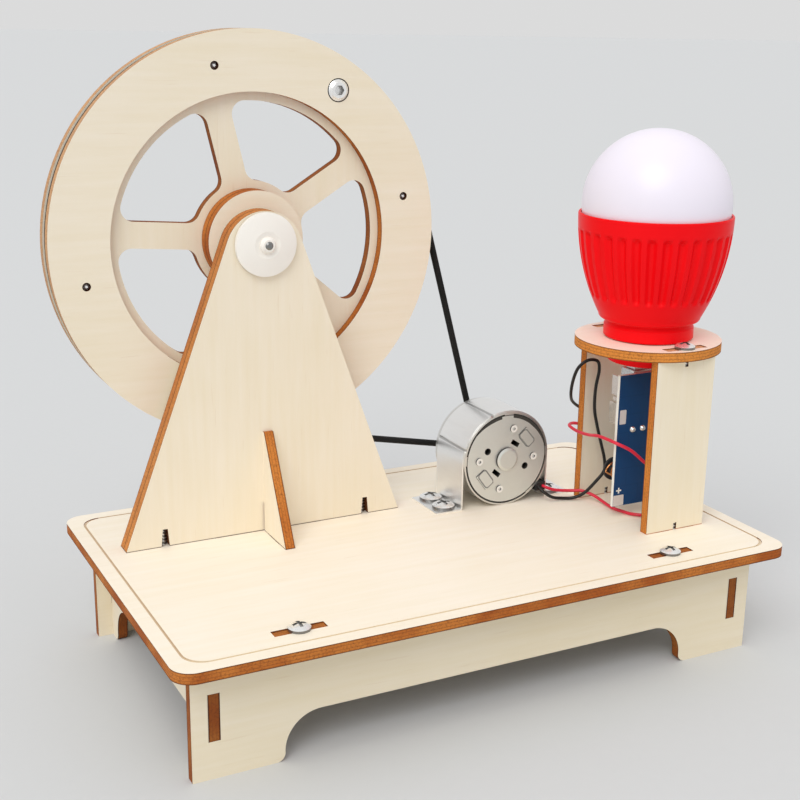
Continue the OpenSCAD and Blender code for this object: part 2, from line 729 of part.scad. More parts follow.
// A drawn can, open at the front, with a bearing boss at the back and crimps over the end plate
module motor_can() at_frame() color("gainsboro") {
    along_y(motor_at, motor_y) difference() {
        union() {
            cylinder(r = can_r, h = can_l);
            cylinder(r = boss_r, h = can_l + rear_boss_l);
        }
        translate([0, 0, -cut]) cylinder(r = can_in_r, h = can_l - can_wall + cut);
        cylinder(r = bearing_r + press_play, h = can_l + rear_boss_l + cut);
    }
    motor_face(motor_y, cap_step) intersection() {
        difference() {
            circle(can_r - can_wall / 2);
            circle(can_in_r - cap_step + press_play);
        }
        for (a = crimp_turns) rotate(a) translate([0, -crimp_w / 2]) square([can_r, crimp_w]);
    }
}

module motor_face(y, t) upright(y, t) translate(motor_at) children();

crimp_turns = [-52, 3, 88, 176];
crimp_w = 0.2 * can_r;
module stakes(r) for (a = [-2, 77, 178, 257]) rotate(a) translate([stake_ring_r, 0]) circle(r);

module plate_openings() {
    for (a = [155, -25]) rotate(a) translate([0.52 * can_in_r, 0]) circle(0.075 * can_in_r);
    for (a = [57, 230]) rotate(a) translate([0.38 * can_in_r, 0]) square(can_in_r * [0.1, 0.21], center = true);
}

module end_plate(r) difference() {
    circle(r);
    circle(bearing_r + press_play);
    stakes(stake_r + press_play);
    plate_openings();
}

pad_h = 0.64 * can_wall;
// The end plate, stepped at its edge, with its bearing boss, holes, slots, raised pads and the stakes' holes
module motor_end_cap() at_frame() color("lightgray") {
    motor_face(motor_y, cap_step) end_plate(can_in_r - cap_step);
    motor_face(motor_y + cap_step, cap_plate_t - cap_step) end_plate(can_in_r - press_play);
    motor_face(motor_y - pad_h, pad_h) for (a = [40, 217]) rotate(a) translate([0.66 * can_in_r, 0])
        square(can_in_r * [0.24, 0.4], center = true);
    along_y(motor_at, motor_y - boss_l) difference() {
        union() {
            cylinder(r1 = 0.8 * boss_r, r2 = boss_r, h = boss_l / 3);
            translate([0, 0, boss_l / 3]) cylinder(r = boss_r, h = 2 * boss_l / 3);
        }
        translate([0, 0, boss_l / 2]) cylinder(r = bearing_r + press_play, h = boss_l);
    }
}

// The plate that carries the brushes; its stakes are pressed over the end plate's holes
stake_h = 0.8 * can_wall;
module motor_brush_plate() at_frame() color("white") {
    motor_face(cap_back, brush_plate_t) difference() {
        circle(can_in_r - 2 * press_play);
        circle(bearing_r + face_gap);
        plate_openings();
    }
    motor_face(motor_y, cap_plate_t) stakes(stake_r);
    motor_face(motor_y - stake_h, stake_h) difference() {
        stakes(stake_r);
        stakes(0.4 * stake_r);
    }
}

module bearing(y, l) along_y(motor_at, y) difference() {
    cylinder(r = bearing_r, h = l);
    translate([0, 0, -cut]) cylinder(r = shaft_r + run_play, h = l + 2 * cut);
}

module motor_bearings() at_frame() color("peru") {
    bearing(motor_y - boss_l / 2, cap_plate_t + boss_l / 2);
    bearing(can_back - can_wall, can_wall + rear_boss_l);
}

module motor_magnet() at_frame() color("dimgray") along_y(motor_at, core_y - 1) difference() {
    cylinder(r = can_in_r - press_play, h = core_l + 2);
    translate([0, 0, -cut]) cylinder(r = can_in_r - magnet_t, h = core_l + 2 + 2 * cut);
}

// A moulded block on the side of the can, where the two wires leave
module motor_terminals() at_frame() color("black") difference() {
    translate([terminal_at[0] + 0.2, motor_y + 1.8, terminal_at[1]]) cube([3.6, 5, 3], center = true);
    along_y(motor_at, 0) cylinder(r = can_r + press_play, h = can_back);
}

module motor_shaft() at_frame() color("silver") {
    start = motor_y - boss_l / 2 + 0.2;
    along_y(motor_at, start) cylinder(r = shaft_r, h = pulley_y + pulley_w + 0.4 - start);
}

// Three poles on the shaft, each with a wound coil round its neck
module core_outline() difference() {
    union() {
        circle(0.3 * core_r);
        difference() {
            circle(core_r);
            circle(0.84 * core_r);
        }
        for (i = [0 : 2]) rotate(90 + i * 120) translate([0, -0.14 * core_r]) square([0.9 * core_r, 0.28 * core_r]);
    }
    circle(shaft_r + press_play);
    for (i = [0 : 2]) rotate(30 + i * 120) translate([0.5 * core_r, -1.2]) square([core_r, 2.4]);
}

module motor_core() at_frame() color("slategray") motor_face(core_y, core_l) core_outline();

module motor_coils() at_frame() color("chocolate") difference() {
    motor_face(core_y - 1, core_l + 2) for (i = [0 : 2])
        rotate(90 + i * 120) translate([0.38 * core_r, -0.3 * core_r]) square([0.44 * core_r, 0.6 * core_r]);
    motor_face(core_y, core_l) core_outline();
}

module motor_commutator() at_frame() color("peru") along_y(motor_at, core_y - commutator_l) difference() {
    cylinder(r = 0.55 * boss_r, h = commutator_l);
    translate([0, 0, -cut]) cylinder(r = shaft_r + press_play, h = commutator_l + 2 * cut);
}

module motor_pulley() at_frame() color("whitesmoke") along_y(motor_at, pulley_y) difference() {
    union() {
        cylinder(r = pulley_groove_r, h = pulley_w);
        for (z = [0, pulley_w - flange_t]) translate([0, 0, z]) cylinder(r = pulley_r, h = flange_t);
    }
    translate([0, 0, -cut]) cylinder(r = shaft_r + press_play, h = pulley_w + 2 * cut);
}

// A bent strip over the can with a foot on each side
module motor_strap() at_frame() color("silver") difference() {
    out_r = strap_in_r + strap_t;
    upright(strap_y, strap_w) translate(motor_at) difference() {
        union() {
            circle(out_r);
            translate([-out_r, -can_r]) square([2 * out_r, can_r]);
            translate([-out_r - strap_foot_l, -can_r]) square([2 * (out_r + strap_foot_l), strap_t]);
        }
        circle(strap_in_r);
        translate([-strap_in_r, -can_r - cut]) square([2 * strap_in_r, can_r + cut]);
    }
    strap_screw_places() screw_bore(slot_play);
}

module strap_screws() at_frame() color("gainsboro") strap_screw_places()
    screw(strap_head_r, screw_head_h, screw_shank_r, 2 * board_t + strap_t);

// A post with two tabs and a screw at each end, and a slot at each end where the screw shows
module post(side) difference() {
    upright(lamp_y + side * post_off - board_t / 2) translate([lamp_x, deck_top]) difference() {
        union() {
            translate([-post_w / 2, 0]) square([post_w, post_h]);
            translate([0, tab_low - board_t]) tab_pair();
            translate([0, post_h - tab_low]) tab_pair();
        }
        for (z = [0, post_h - post_slot_h]) translate([-post_slot_w / 2, z]) square([post_slot_w, post_slot_h]);
    }
    post_screw_places() screw_bore();
    disc_screw_places() screw_bore();
}

module lamp_front_post() at_frame() color("bisque") post(-1);

module lamp_rear_post() at_frame() color("bisque") post(1);

module lamp_disc() at_frame() color("wheat") difference() {
    translate([lamp_x, lamp_y, disc_z]) linear_extrude(board_t) difference() {
        circle(disc_r);
        circle(neck_r + bulb_gap);
    }
    disc_screw_places() {
        screw_bore(slot_play);
        translate([0, 0, -board_t - cut]) tab_slots();
    }
}

module disc_screws() at_frame() color("silver") disc_screw_places() board_screw();

module post_screws() at_frame() color("silver") post_screw_places() board_screw();

module usb_board() at_frame() color("navy")
    translate([lamp_x - pcb_w / 2, pcb_back - pcb_t, pcb_z]) cube([pcb_w, pcb_t, pcb_h]);

// A folded shell round the plug, open at the top and closed at the bottom
module usb_socket() at_frame() color("silver") translate([lamp_x, lamp_y, socket_z - socket_l]) difference() {
    translate([-socket_w / 2, -socket_d / 2, 0]) cube([socket_w, socket_d, socket_l]);
    translate([socket_wall - socket_w / 2, socket_wall - socket_d / 2, socket_wall])
        cube([socket_w - 2 * socket_wall, socket_d - 2 * socket_wall, socket_l]);
}

plug_in_d = plug_d - 2 * plug_wall;
tongue_t = plug_in_d / 2 - bulb_gap - 0.05;
module socket_tongue() at_frame() color("white") {
    tongue_w = plug_w - 2 * (plug_wall + bulb_gap);
    translate([lamp_x - tongue_w / 2, lamp_y - plug_in_d / 2 + bulb_gap, socket_z - socket_l + socket_wall])
        cube([tongue_w, tongue_t, socket_l - 2 * socket_wall]);
}

// A chip, a diode and a capacitor on the back of the board, below the socket
module board_parts() at_frame() color("darkslategray") translate([lamp_x, pcb_back, pcb_z]) {
    translate([0, 0.8, 22]) cube([5, 1.6, 4], center = true);
    translate([8, 1.1, 26]) cube([2.6, 2.2, 4.3], center = true);
    translate([8, 0, 17]) rotate([-90, 0, 0]) cylinder(r = 2.5, h = 5.4);
}

module inductor_core() at_frame() color("dimgray") along_y(inductor_at, pcb_back) {
    cylinder(r = inductor_core_r, h = inductor_l);
    for (y = [0, inductor_l - inductor_flange_t]) translate([0, 0, y]) cylinder(r = inductor_r, h = inductor_flange_t);
}

function unit(v) = v / norm(v);

// A curve through the points of a route, with a few steps from each point to the next
function blend(p, t) = 0.5 * (2 * p[1] + (p[2] - p[0]) * t + (2 * p[0] - 5 * p[1] + 4 * p[2] - p[3]) * t * t
    + (3 * p[1] - p[0] - 3 * p[2] + p[3]) * t * t * t);
function curve(route, steps) = let (last = len(route) - 1) [
    for (i = [0 : last - 1], k = [0 : steps - 1])
        blend([for (j = [i - 1 : i + 2]) route[max(0, min(last, j))]], k / steps),
    route[last],
];

// A tube along a list of points: directions, sideways directions carried along, rings, and their faces
module tube(path, r, sides, closed = false) {
    n = len(path);
    ways = [for (i = [0 : n - 1]) closed
        ? unit(unit(path[(i + 1) % n] - path[i]) + unit(path[i] - path[(i + n - 1) % n]))
        : unit(path[min(i + 1, n - 1)] - path[max(i - 1, 0)])];
    first = unit(cross(ways[0], abs(ways[0][2]) < 0.9 ? [0, 0, 1] : [1, 0, 0]));
    outs = [for (i = 0, o = first; i < n; i = i + 1, o = i < n ? unit(o - (o * ways[i]) * ways[i]) : o) o];
    rings = [for (i = [0 : n - 1], k = [0 : sides - 1])
        path[i] + r * (cos(k * 360 / sides) * outs[i] + sin(k * 360 / sides) * cross(ways[i], outs[i]))];
    walls = [for (i = [0 : n - (closed ? 1 : 2)], k = [0 : sides - 1])
        let (l = (k + 1) % sides, a = i * sides, b = (i + 1) % n * sides)
            each [[a + k, b + k, a + l], [a + l, b + k, b + l]]];
    ends = closed ? []
        : [for (k = [1 : sides - 2]) each [[0, k, k + 1], (n - 1) * sides * [1, 1, 1] + [0, k + 1, k]]];
    polyhedron(rings, concat(walls, ends));
}

// The wire of the inductor: up one side, round the middle, and down the other side to the board
function coil_point(turn, r, y) = [
    inductor_at[0] + r * cos(turn), pcb_back + y, inductor_at[1] + r * sin(turn)
];
coil_rings = coil_turns * loop_rings;
coil_path = concat(
    [for (y = [0, 0.5, 1]) coil_point(0, lead_r, y * coil_y)],
    [for (i = [1 : coil_rings - 1]) coil_point(
        i * 360 / loop_rings,
        coil_r + (lead_r - coil_r) * max(0, 1 - 4 * min(i, coil_rings - i) / loop_rings),
        coil_y + coil_l * i / coil_rings)],
    [for (y = [coil_y + coil_l : -0.6 : 0.3]) coil_point(coil_turns * 360, lead_r, y)],
    [coil_point(coil_turns * 360, lead_r, 0)]
);
coil_gap = min([for (i = [0 : len(coil_path) - 1], j = [i + loop_rings / 2 : 1 : len(coil_path) - 1])
    norm(coil_path[i] - coil_path[j])]) - 2 * coil_wire_r;
echo(coil_gap = coil_gap);

module inductor_winding() at_frame() color("orangered") tube(coil_path, coil_wire_r, 6);

// A wire starts at the motor's terminals and ends square on the back of the board
wire_steps = 2;
module wire(route) {
    last = route[len(route) - 1];
    tube(concat(curve(route, wire_steps), [for (k = [0.5, 1]) [last[0], last[1] + k * (pcb_back - last[1]), last[2]]]),
        wire_r, 8);
}

module red_wire() at_frame() color("red") wire(red_route);

module black_wire() at_frame() color("black") wire(black_route);

module lamp_axis(z) translate([lamp_x, lamp_y, z]) children();

// The flared side of the cup as half a section, drawn in by d
module cup_section(d) intersection() {
    translate([cup_r - cup_curve_r, cup_h]) circle(cup_curve_r - d);
    square([cup_r, cup_h]);
}

module cup_grooves() {
    step = 360 / cup_groove_count;
    for (i = [0 : cup_groove_count - 1]) rotate(i * step) rotate_extrude(angle = cup_groove_share * step) difference() {
        translate([collar_r - cut, cup_groove_z]) square([cup_r - collar_r + 2 * cut, cup_groove_h]);
        cup_section(cup_groove_d);
    }
}

// The red moulding: neck, collar, grooved cup and the seats for the lamp board and the dome
module bulb_cup() at_frame() color("red") {
    lamp_axis(neck_z) cylinder(r = neck_r, h = cup_z - neck_z);
    lamp_axis(collar_z) cylinder(r = collar_r, h = collar_h);
    lamp_axis(cup_z - collar_groove_h) cylinder(r = collar_r - collar_groove_d, h = collar_groove_h);
    difference() {
        lamp_axis(cup_z) difference() {
            rotate_extrude() cup_section(0);
            cup_grooves();
        }
        lamp_axis(cup_z + 8) cylinder(r = neck_r + 3, h = cup_h);
        lamp_axis(led_z) cylinder(r = dome_r - dome_wall, h = cup_h);
        lamp_axis(dome_seat_z) cylinder(r = cup_r - rim_wall, h = cup_h);
    }
}

module bulb_dome() at_frame() color("aliceblue") difference() {
    lamp_axis(dome_z) sphere(dome_r);
    lamp_axis(dome_z) sphere(dome_r - dome_wall);
    lamp_axis(dome_seat_z - 2 * dome_r) cylinder(r = 2 * dome_r, h = 2 * dome_r);
}

module bulb_led_board() at_frame() color("whitesmoke")
    lamp_axis(led_z) cylinder(r = dome_r - dome_wall - press_play, h = led_t);

module bulb_plug_shell() at_frame() color("silver") lamp_axis(neck_z - plug_l) difference() {
    translate([-plug_w / 2, -plug_d / 2, 0]) cube([plug_w, plug_d, plug_l]);
    translate([plug_wall - plug_w / 2, -plug_in_d / 2, -cut])
        cube([plug_w - 2 * plug_wall, plug_in_d, plug_l + 2 * cut]);
}

module bulb_plug_insert() at_frame() color("white")
    lamp_axis(neck_z - plug_l + 0.4) translate([plug_wall - plug_w / 2, 0, 0])
        cube([plug_w - 2 * plug_wall, plug_in_d / 2, plug_l - 0.4]);

deck_plate();
front_apron();
rear_apron();
left_end_board();
right_end_board();
deck_screws();
stand_front_board();
stand_rear_board();
stand_brace();
stand_screws();
axle();
front_axle_cap();
rear_axle_cap();
front_hub_disc();
rear_hub_disc();
front_ring();
spoke_disc();
rear_ring();
ring_screws();
crank_bolt();
crank_nut();
crank_end_nut();
crank_grip();
drive_belt();
motor_can();
motor_end_cap();
motor_brush_plate();
motor_bearings();
motor_magnet();
motor_terminals();
motor_shaft();
motor_core();
motor_coils();
motor_commutator();
motor_pulley();
motor_strap();
strap_screws();
lamp_front_post();
lamp_rear_post();
lamp_disc();
disc_screws();
post_screws();
usb_board();
usb_socket();
socket_tongue();
board_parts();
inductor_core();
inductor_winding();
red_wire();
black_wire();
bulb_cup();
bulb_dome();
bulb_led_board();
bulb_plug_shell();
bulb_plug_insert();
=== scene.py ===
"""Looks of the hand crank generator: laser-cut plywood, a round belt, a flat motor and a red bulb.

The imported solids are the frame. This script gives every solid its finish, and adds what is too fine
or too soft for them: the two wires, the belt, the windings, the screw threads, the cup's flutes, and
the circuit board's solder and sheet metal.
"""
import json
import math
from functools import partialmethod

import bmesh
import bpy
from mathutils import Euler, Matrix, Vector

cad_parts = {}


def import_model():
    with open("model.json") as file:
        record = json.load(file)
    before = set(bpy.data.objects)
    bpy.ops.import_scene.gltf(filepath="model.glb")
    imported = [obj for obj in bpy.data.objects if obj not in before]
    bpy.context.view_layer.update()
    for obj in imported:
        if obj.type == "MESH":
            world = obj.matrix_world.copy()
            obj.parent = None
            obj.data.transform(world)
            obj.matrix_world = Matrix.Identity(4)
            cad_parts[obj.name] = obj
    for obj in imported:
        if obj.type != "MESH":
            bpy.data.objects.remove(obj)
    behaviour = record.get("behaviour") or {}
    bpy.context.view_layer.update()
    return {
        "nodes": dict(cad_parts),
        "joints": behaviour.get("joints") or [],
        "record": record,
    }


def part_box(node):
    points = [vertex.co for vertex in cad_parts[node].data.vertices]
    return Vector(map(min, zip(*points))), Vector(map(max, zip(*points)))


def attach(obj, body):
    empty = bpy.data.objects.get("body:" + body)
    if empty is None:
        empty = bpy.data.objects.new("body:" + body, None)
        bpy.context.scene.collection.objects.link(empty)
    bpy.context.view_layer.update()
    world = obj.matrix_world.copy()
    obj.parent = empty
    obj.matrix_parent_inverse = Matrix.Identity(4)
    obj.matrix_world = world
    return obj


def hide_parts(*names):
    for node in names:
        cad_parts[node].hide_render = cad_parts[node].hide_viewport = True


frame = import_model()

MM = 0.001
X_AXIS, Y_AXIS, Z_AXIS = (1, 0, 0), (0, 1, 0), (0, 0, 1)
PIVOT = {j["name"]: Vector(j["pos_m"]) for j in frame["joints"] if "pos_m" in j}


def middle(node):
    low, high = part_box(node)
    return (low + high) / 2


DECK_MIDDLE = Vector((middle("deck_plate").x, middle("deck_plate").y, 0))


def deck_point(x, y, z):
    """A point in millimetres from the middle of the deck on the floor, in the frame's metres."""
    return DECK_MIDDLE + Vector((x, y, z)) * MM


def around(turn, radius=1.0):
    """A vector across the Y axis, at a turn from +X towards +Z."""
    return Vector((radius * math.cos(turn), 0, radius * math.sin(turn)))


# Shader helpers


class Nodes:
    """Short ways to place and link the nodes of one tree."""

    def __init__(self, tree):
        self.tree = tree

    def add(self, kind, inputs=None, **settings):
        """A new node with its settings made and its inputs fed."""
        made = self.tree.nodes.new(kind)
        for name, value in settings.items():
            setattr(made, name, value)
        for key, value in (inputs or {}).items():
            self.feed(made.inputs[key], value)
        return made

    def first(self, kind, inputs=None, **settings):
        """The first output of a new node."""
        return self.add(kind, inputs, **settings).outputs[0]

    def feed(self, socket, value):
        """Links another socket's value or sets a plain one; a colour comes without its alpha."""
        if isinstance(value, bpy.types.NodeSocket):
            self.tree.links.new(value, socket)
        else:
            socket.default_value = (*value, 1) if socket.type == "RGBA" else value

    def here(self, kind="Object"):
        """A point's place in its object, or its Normal there."""
        return self.add("ShaderNodeTexCoord").outputs[kind]

    def math(self, operation, *values, clamp=False):
        return self.first("ShaderNodeMath", dict(enumerate(values)), operation=operation, use_clamp=clamp)

    plus = partialmethod(math, "ADD")
    minus = partialmethod(math, "SUBTRACT")
    times = partialmethod(math, "MULTIPLY")
    max = partialmethod(math, "MAXIMUM")
    abs = partialmethod(math, "ABSOLUTE")

    def vector(self, operation, first, second=(0, 0, 0)):
        made = self.add("ShaderNodeVectorMath", {0: first, 1: second}, operation=operation)
        return made.outputs["Value" if operation in ("DOT_PRODUCT", "LENGTH") else "Vector"]

    def along(self, vector, way):
        """How far a vector reaches along a direction."""
        return self.vector("DOT_PRODUCT", vector, way)

    def facing(self, way):
        """How squarely the surface faces along a direction, either way round, from 0 to 1."""
        return self.abs(self.along(self.here("Normal"), way))

    def apart(self, value, centre):
        """How far a value is from a centre, on either side."""
        return self.abs(self.minus(value, centre))

    def noise(self, at, scale, detail=3.0, roughness=0.55):
        return self.first("ShaderNodeTexNoise", {"Vector": at, "Scale": scale, "Detail": detail,
                                                 "Roughness": roughness})

    def between(self, value, low, high, low_to=0.0, high_to=1.0):
        return self.first("ShaderNodeMapRange", {"Value": value, "From Min": low, "From Max": high,
                                                 "To Min": low_to, "To Max": high_to})

    def mix(self, share, first, second, blend="MIX"):
        return self.add("ShaderNodeMix", {0: share, 6: first, 7: second}, data_type="RGBA",
                        blend_type=blend).outputs[2]

    def ramp(self, value, *stops):
        made = self.add("ShaderNodeValToRGB", {"Fac": value})
        elements = made.color_ramp.elements
        while len(elements) < len(stops):
            elements.new(0.5)
        for element, (place, colour) in zip(elements, stops):
            element.position, element.color = place, (*colour, 1)
        return made.outputs["Color"]


SOCKET_KIND = {int: "NodeSocketInt", float: "NodeSocketFloat", tuple: "NodeSocketVector"}


def group(name, outputs, kind="ShaderNodeTree", **inputs):
    """An empty node group; outputs come with their kinds, and inputs with the values they start from."""
    tree = bpy.data.node_groups.new(name, kind)
    for label, value in inputs.items():
        socket = tree.interface.new_socket(label, in_out="INPUT", socket_type=SOCKET_KIND[type(value)])
        socket.default_value = value
    for label, output in outputs.items():
        tree.interface.new_socket(label, in_out="OUTPUT", socket_type="NodeSocket" + output)
    nodes = Nodes(tree)
    return nodes, nodes.add("NodeGroupInput").outputs, nodes.add("NodeGroupOutput").inputs


# Effects that several materials share. Plywood's colours are linear, its places shares of its thickness
FACE_PALE = (0.965, 0.885, 0.76)
FACE_DEEP = (0.87, 0.762, 0.555)
FLECK = (0.70, 0.53, 0.34)
TANNED = (0.80, 0.58, 0.34)
GOLDEN = (0.82, 0.315, 0.058)
BURNT = (0.45, 0.108, 0.016)
BURNT_PALE = (0.70, 0.245, 0.046)
SMOKED = (0.20, 0.055, 0.015)
CHAR = (0.070, 0.019, 0.007)
SKIN_DEPTH, GLUE_AT, GLUE_WIDTH = 0.05, 0.17, 0.06
RIM_FROM, RIM_FULL = 0.37, 0.46


def ply_face(n, given, here, fibres, grain, depth):
    """The cream face: grain, clouds and flecks, and a tan where it is cut below the surface."""
    cloud = n.noise(here, 22.0, 2.0)
    fleck = n.between(n.noise(fibres, 2.6, 2.0), 0.66, 0.74)
    shade = n.plus(n.times(grain, 0.6), n.times(cloud, 0.5))
    shade = n.plus(shade, n.times(n.minus(given["Tone"], 0.5), 0.5))
    face = n.mix(n.between(shade, 0.2, 0.95), FACE_PALE, FACE_DEEP)
    face = n.mix(n.times(fleck, 0.18), face, FLECK)
    inside = n.math("LESS_THAN", n.apart(depth, 0.5), 0.5 - SKIN_DEPTH)
    return n.mix(n.times(inside, 0.5), face, TANNED)


def ply_edge(n, given, here, soot, depth):
    """The cut edge: tanned, golden or burnt, with soot, dark glue lines and charred rims; the gold is partly
    a painted highlight.
    """
    glow = n.noise(here, 70.0, 2.0)
    edge = n.mix(n.between(glow, 0.38, 0.62, 0.05, 0.85), BURNT, BURNT_PALE)
    # Partly painted highlight: a golden share on edges that face the light.
    edge = n.mix(given["Golden"], edge, GOLDEN)
    edge = n.mix(n.between(given["Burn"], 0.0, 1.0, 1.0, 0.0), edge, TANNED)
    edge = n.mix(n.between(soot, 0.48, 0.70, 0.0, 0.7), edge, SMOKED)
    edge = n.mix(n.between(given["Burn"], 1.0, 2.0, 0.0, 0.95), edge, CHAR)
    wander = n.times(n.minus(n.noise(here, 260.0), 0.5), 0.08)
    from_middle = n.apart(n.plus(depth, wander), 0.5)
    edge = n.mix(n.between(n.apart(from_middle, GLUE_AT), 0.0, GLUE_WIDTH, 0.5, 0.0), edge, SMOKED)
    charred = n.between(given["Burn"], 0.4, 1.3, 0.35, 0.95)
    return n.mix(n.times(n.between(from_middle, RIM_FROM, RIM_FULL), charred), edge, CHAR)


def laser_cut_ply():
    """Cream faces with a faint grain, and burnt cut edges that show the layers."""
    n, given, out = group("Laser-cut ply", {"Color": "Color", "Roughness": "Float", "Height": "Float"},
                          Axis=Z_AXIS, Low=0.0, Thickness=0.0032, Stretch=(40, 400, 400), Tone=0.5, Burn=1.0,
                          Golden=0.0)
    here = n.here()
    cut = n.math("LESS_THAN", n.facing(given["Axis"]), 0.7)
    height = n.minus(n.along(here, given["Axis"]), given["Low"])
    depth = n.math("DIVIDE", height, given["Thickness"])
    fibres = n.vector("MULTIPLY", here, given["Stretch"])
    grain = n.noise(fibres, 1.0, 5.0, 0.62)
    soot = n.noise(here, 1500.0, 3.0, 0.75)
    face = ply_face(n, given, here, fibres, grain, depth)
    n.feed(out["Color"], n.mix(cut, face, ply_edge(n, given, here, soot, depth)))
    rough = n.plus(cut, n.times(grain, 0.3))
    n.feed(out["Roughness"], n.between(rough, 0.0, 1.3, 0.48, 0.8))
    n.feed(out["Height"], n.plus(n.times(grain, 0.4), n.times(soot, cut)))
    return n.tree


def drawn_metal():
    """Fine lines and clouds on sheet or wire: a tint and a roughness."""
    n, given, out = group("Drawn metal", {"Tint": "Color", "Roughness": "Float"}, Stretch=(300, 300, 300),
                          Lines=0.1, Rough=0.3)
    here = n.here()
    lines = n.noise(n.vector("MULTIPLY", here, given["Stretch"]), 1.0, 4.0, 0.7)
    cloud = n.noise(here, 90.0, 3.0)
    swing = n.times(n.minus(n.plus(lines, cloud), 1.0), given["Lines"])
    value = n.minus(1.0, n.abs(swing))
    n.feed(out["Tint"], n.first("ShaderNodeCombineColor", {"Red": value, "Green": value, "Blue": value}))
    n.feed(out["Roughness"], n.plus(given["Rough"], swing, clamp=True))
    return n.tree


def moulded_skin():
    """The slightly uneven gloss of moulded plastic or rubber: a shade, a roughness and a fine height."""
    n, given, out = group("Moulded skin", {"Shade": "Float", "Roughness": "Float", "Height": "Float"},
                          Scale=900.0, Rough=0.35, Swing=0.08)
    here = n.here()
    cloud = n.noise(here, 45.0, 3.0)
    n.feed(out["Shade"], n.between(cloud, 0.3, 0.7))
    swing = n.times(n.minus(cloud, 0.5), given["Swing"])
    n.feed(out["Roughness"], n.plus(given["Rough"], swing, clamp=True))
    n.feed(out["Height"], n.noise(here, given["Scale"], 2.0))
    return n.tree


PLY, METAL, SKIN = laser_cut_ply(), drawn_metal(), moulded_skin()


def material(name, effect, **values):
    """A new material with one placed effect group; returns it, its nodes, its shader and the effect."""
    made = bpy.data.materials.new(name)
    made.use_nodes = True
    nodes = Nodes(made.node_tree)
    shader = made.node_tree.nodes["Principled BSDF"]
    placed = nodes.add("ShaderNodeGroup", node_tree=effect)
    for label, value in values.items():
        nodes.feed(placed.inputs[label], value(nodes) if callable(value) else value)
    return made, nodes, shader, placed.outputs


def surface(nodes, shader, colour, rough, **constants):
    """Feeds a shader's colour and roughness, and sets the values that are the same all over."""
    nodes.feed(shader.inputs["Base Color"], colour)
    nodes.feed(shader.inputs["Roughness"], rough)
    for label, value in constants.items():
        shader.inputs[label.replace("_", " ")].default_value = value


def bump(nodes, shader, height, distance, strength=0.4):
    normal = nodes.first("ShaderNodeBump", {"Height": height, "Distance": distance, "Strength": strength})
    nodes.feed(shader.inputs["Normal"], normal)


# Where the plywood is marked or burnt, and where shade and a highlight are painted on it


def across_axis(n, joint):
    """A point's offset from a joint's axis along Y, without its place along that axis."""
    return n.vector("MULTIPLY", n.vector("SUBTRACT", n.here(), PIVOT[joint]), (1, 0, 1))


def edge_distance(n, past_x, past_y, corner):
    """How far outside a round-cornered rectangle a point lies, from how far it is past the straight sides."""
    both = n.first("ShaderNodeCombineXYZ", {"X": past_x, "Y": past_y})
    reach = n.vector("LENGTH", n.vector("MAXIMUM", both))
    within = n.math("MINIMUM", n.max(past_x, past_y), 0.0)
    return n.minus(n.plus(reach, within), corner)


ENGRAVED = (0.66, 0.50, 0.33)
ENGRAVED_PALE = (0.83, 0.71, 0.52)
ENGRAVED_INSET, ENGRAVED_WIDTH, ENGRAVED_CORNER = 4.7 * MM, 0.72 * MM, 6.7 * MM
SEAM_HEIGHT = 0.16 * MM
HOLE_REACH, RIM_REACH = 3.6 * MM, 4.0 * MM
POST_SLOT, STAND_SLOT, SLOT_SOFT = 1.0 * MM, 2.2 * MM, 0.2 * MM


def engraved_line(n):
    """A mask along the line engraved inside the deck's edge, a rectangle with round corners."""
    low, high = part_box("deck_plate")
    half = (high - low) / 2 - Vector((1, 1, 0)) * (ENGRAVED_INSET + ENGRAVED_CORNER)
    off = n.vector("SUBTRACT", n.here(), middle("deck_plate"))
    past = n.vector("SUBTRACT", n.vector("ABSOLUTE", off), (half.x, half.y, 0))
    past = n.add("ShaderNodeSeparateXYZ", {"Vector": past}).outputs
    away = n.abs(edge_distance(n, past["X"], past["Y"], ENGRAVED_CORNER))
    return n.math("LESS_THAN", away, ENGRAVED_WIDTH / 2)


def engraved_burn(n):
    """A mask along the engraved line where it is burnt, which is everywhere but along the front."""
    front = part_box("deck_plate")[0].y + ENGRAVED_INSET
    burnt = n.between(n.along(n.here(), Y_AXIS), front, front + ENGRAVED_CORNER)
    return n.times(engraved_line(n), burnt)


def foot_seam(n):
    """A mask along a board's foot, where its burnt edge shows as a dark seam on the deck."""
    above = n.minus(n.along(n.here(), Z_AXIS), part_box("deck_plate")[1].z)
    return n.between(above, SEAM_HEIGHT, 2 * SEAM_HEIGHT, 0.85, 0.0)


def ring_burn_and_light(n):
    """Outer rims burnt less, a painted highlight, brown inner ones, and painted shade as black walls in the
    holes for the screws and the crank.
    """
    distance = n.vector("LENGTH", across_axis(n, "wheel_spin"))
    out = PIVOT["grip_spin"] - PIVOT["wheel_spin"]
    holes_at = math.hypot(out.x, out.z)
    # Painted highlight: the outer rims are burnt less, so they show paler.
    rims = n.between(distance, holes_at - RIM_REACH, holes_at + RIM_REACH, 1.15, 0.45)
    # Painted shade: the walls of the holes are near-black.
    return n.between(n.apart(distance, holes_at), HOLE_REACH, RIM_REACH, 2.0, rims)


def beside_screws(n, screws):
    """How far a point is to the left or right of a row of screws' middle."""
    return n.apart(n.along(n.here(), X_AXIS), middle(screws).x)


def post_burn_and_shade(n):
    """Painted shade as black walls in the narrow slots over the posts' screws, brown edges, and tanned tabs
    in the disc.
    """
    disc_low, disc_high = (corner.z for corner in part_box("lamp_disc"))
    edges = n.between(n.along(n.here(), Z_AXIS), disc_low, disc_high, 1.0, 0.3)
    # Painted shade: the walls of the slots are near-black.
    return n.between(beside_screws(n, "post_screws"), POST_SLOT, POST_SLOT + SLOT_SOFT, 2.0, edges)


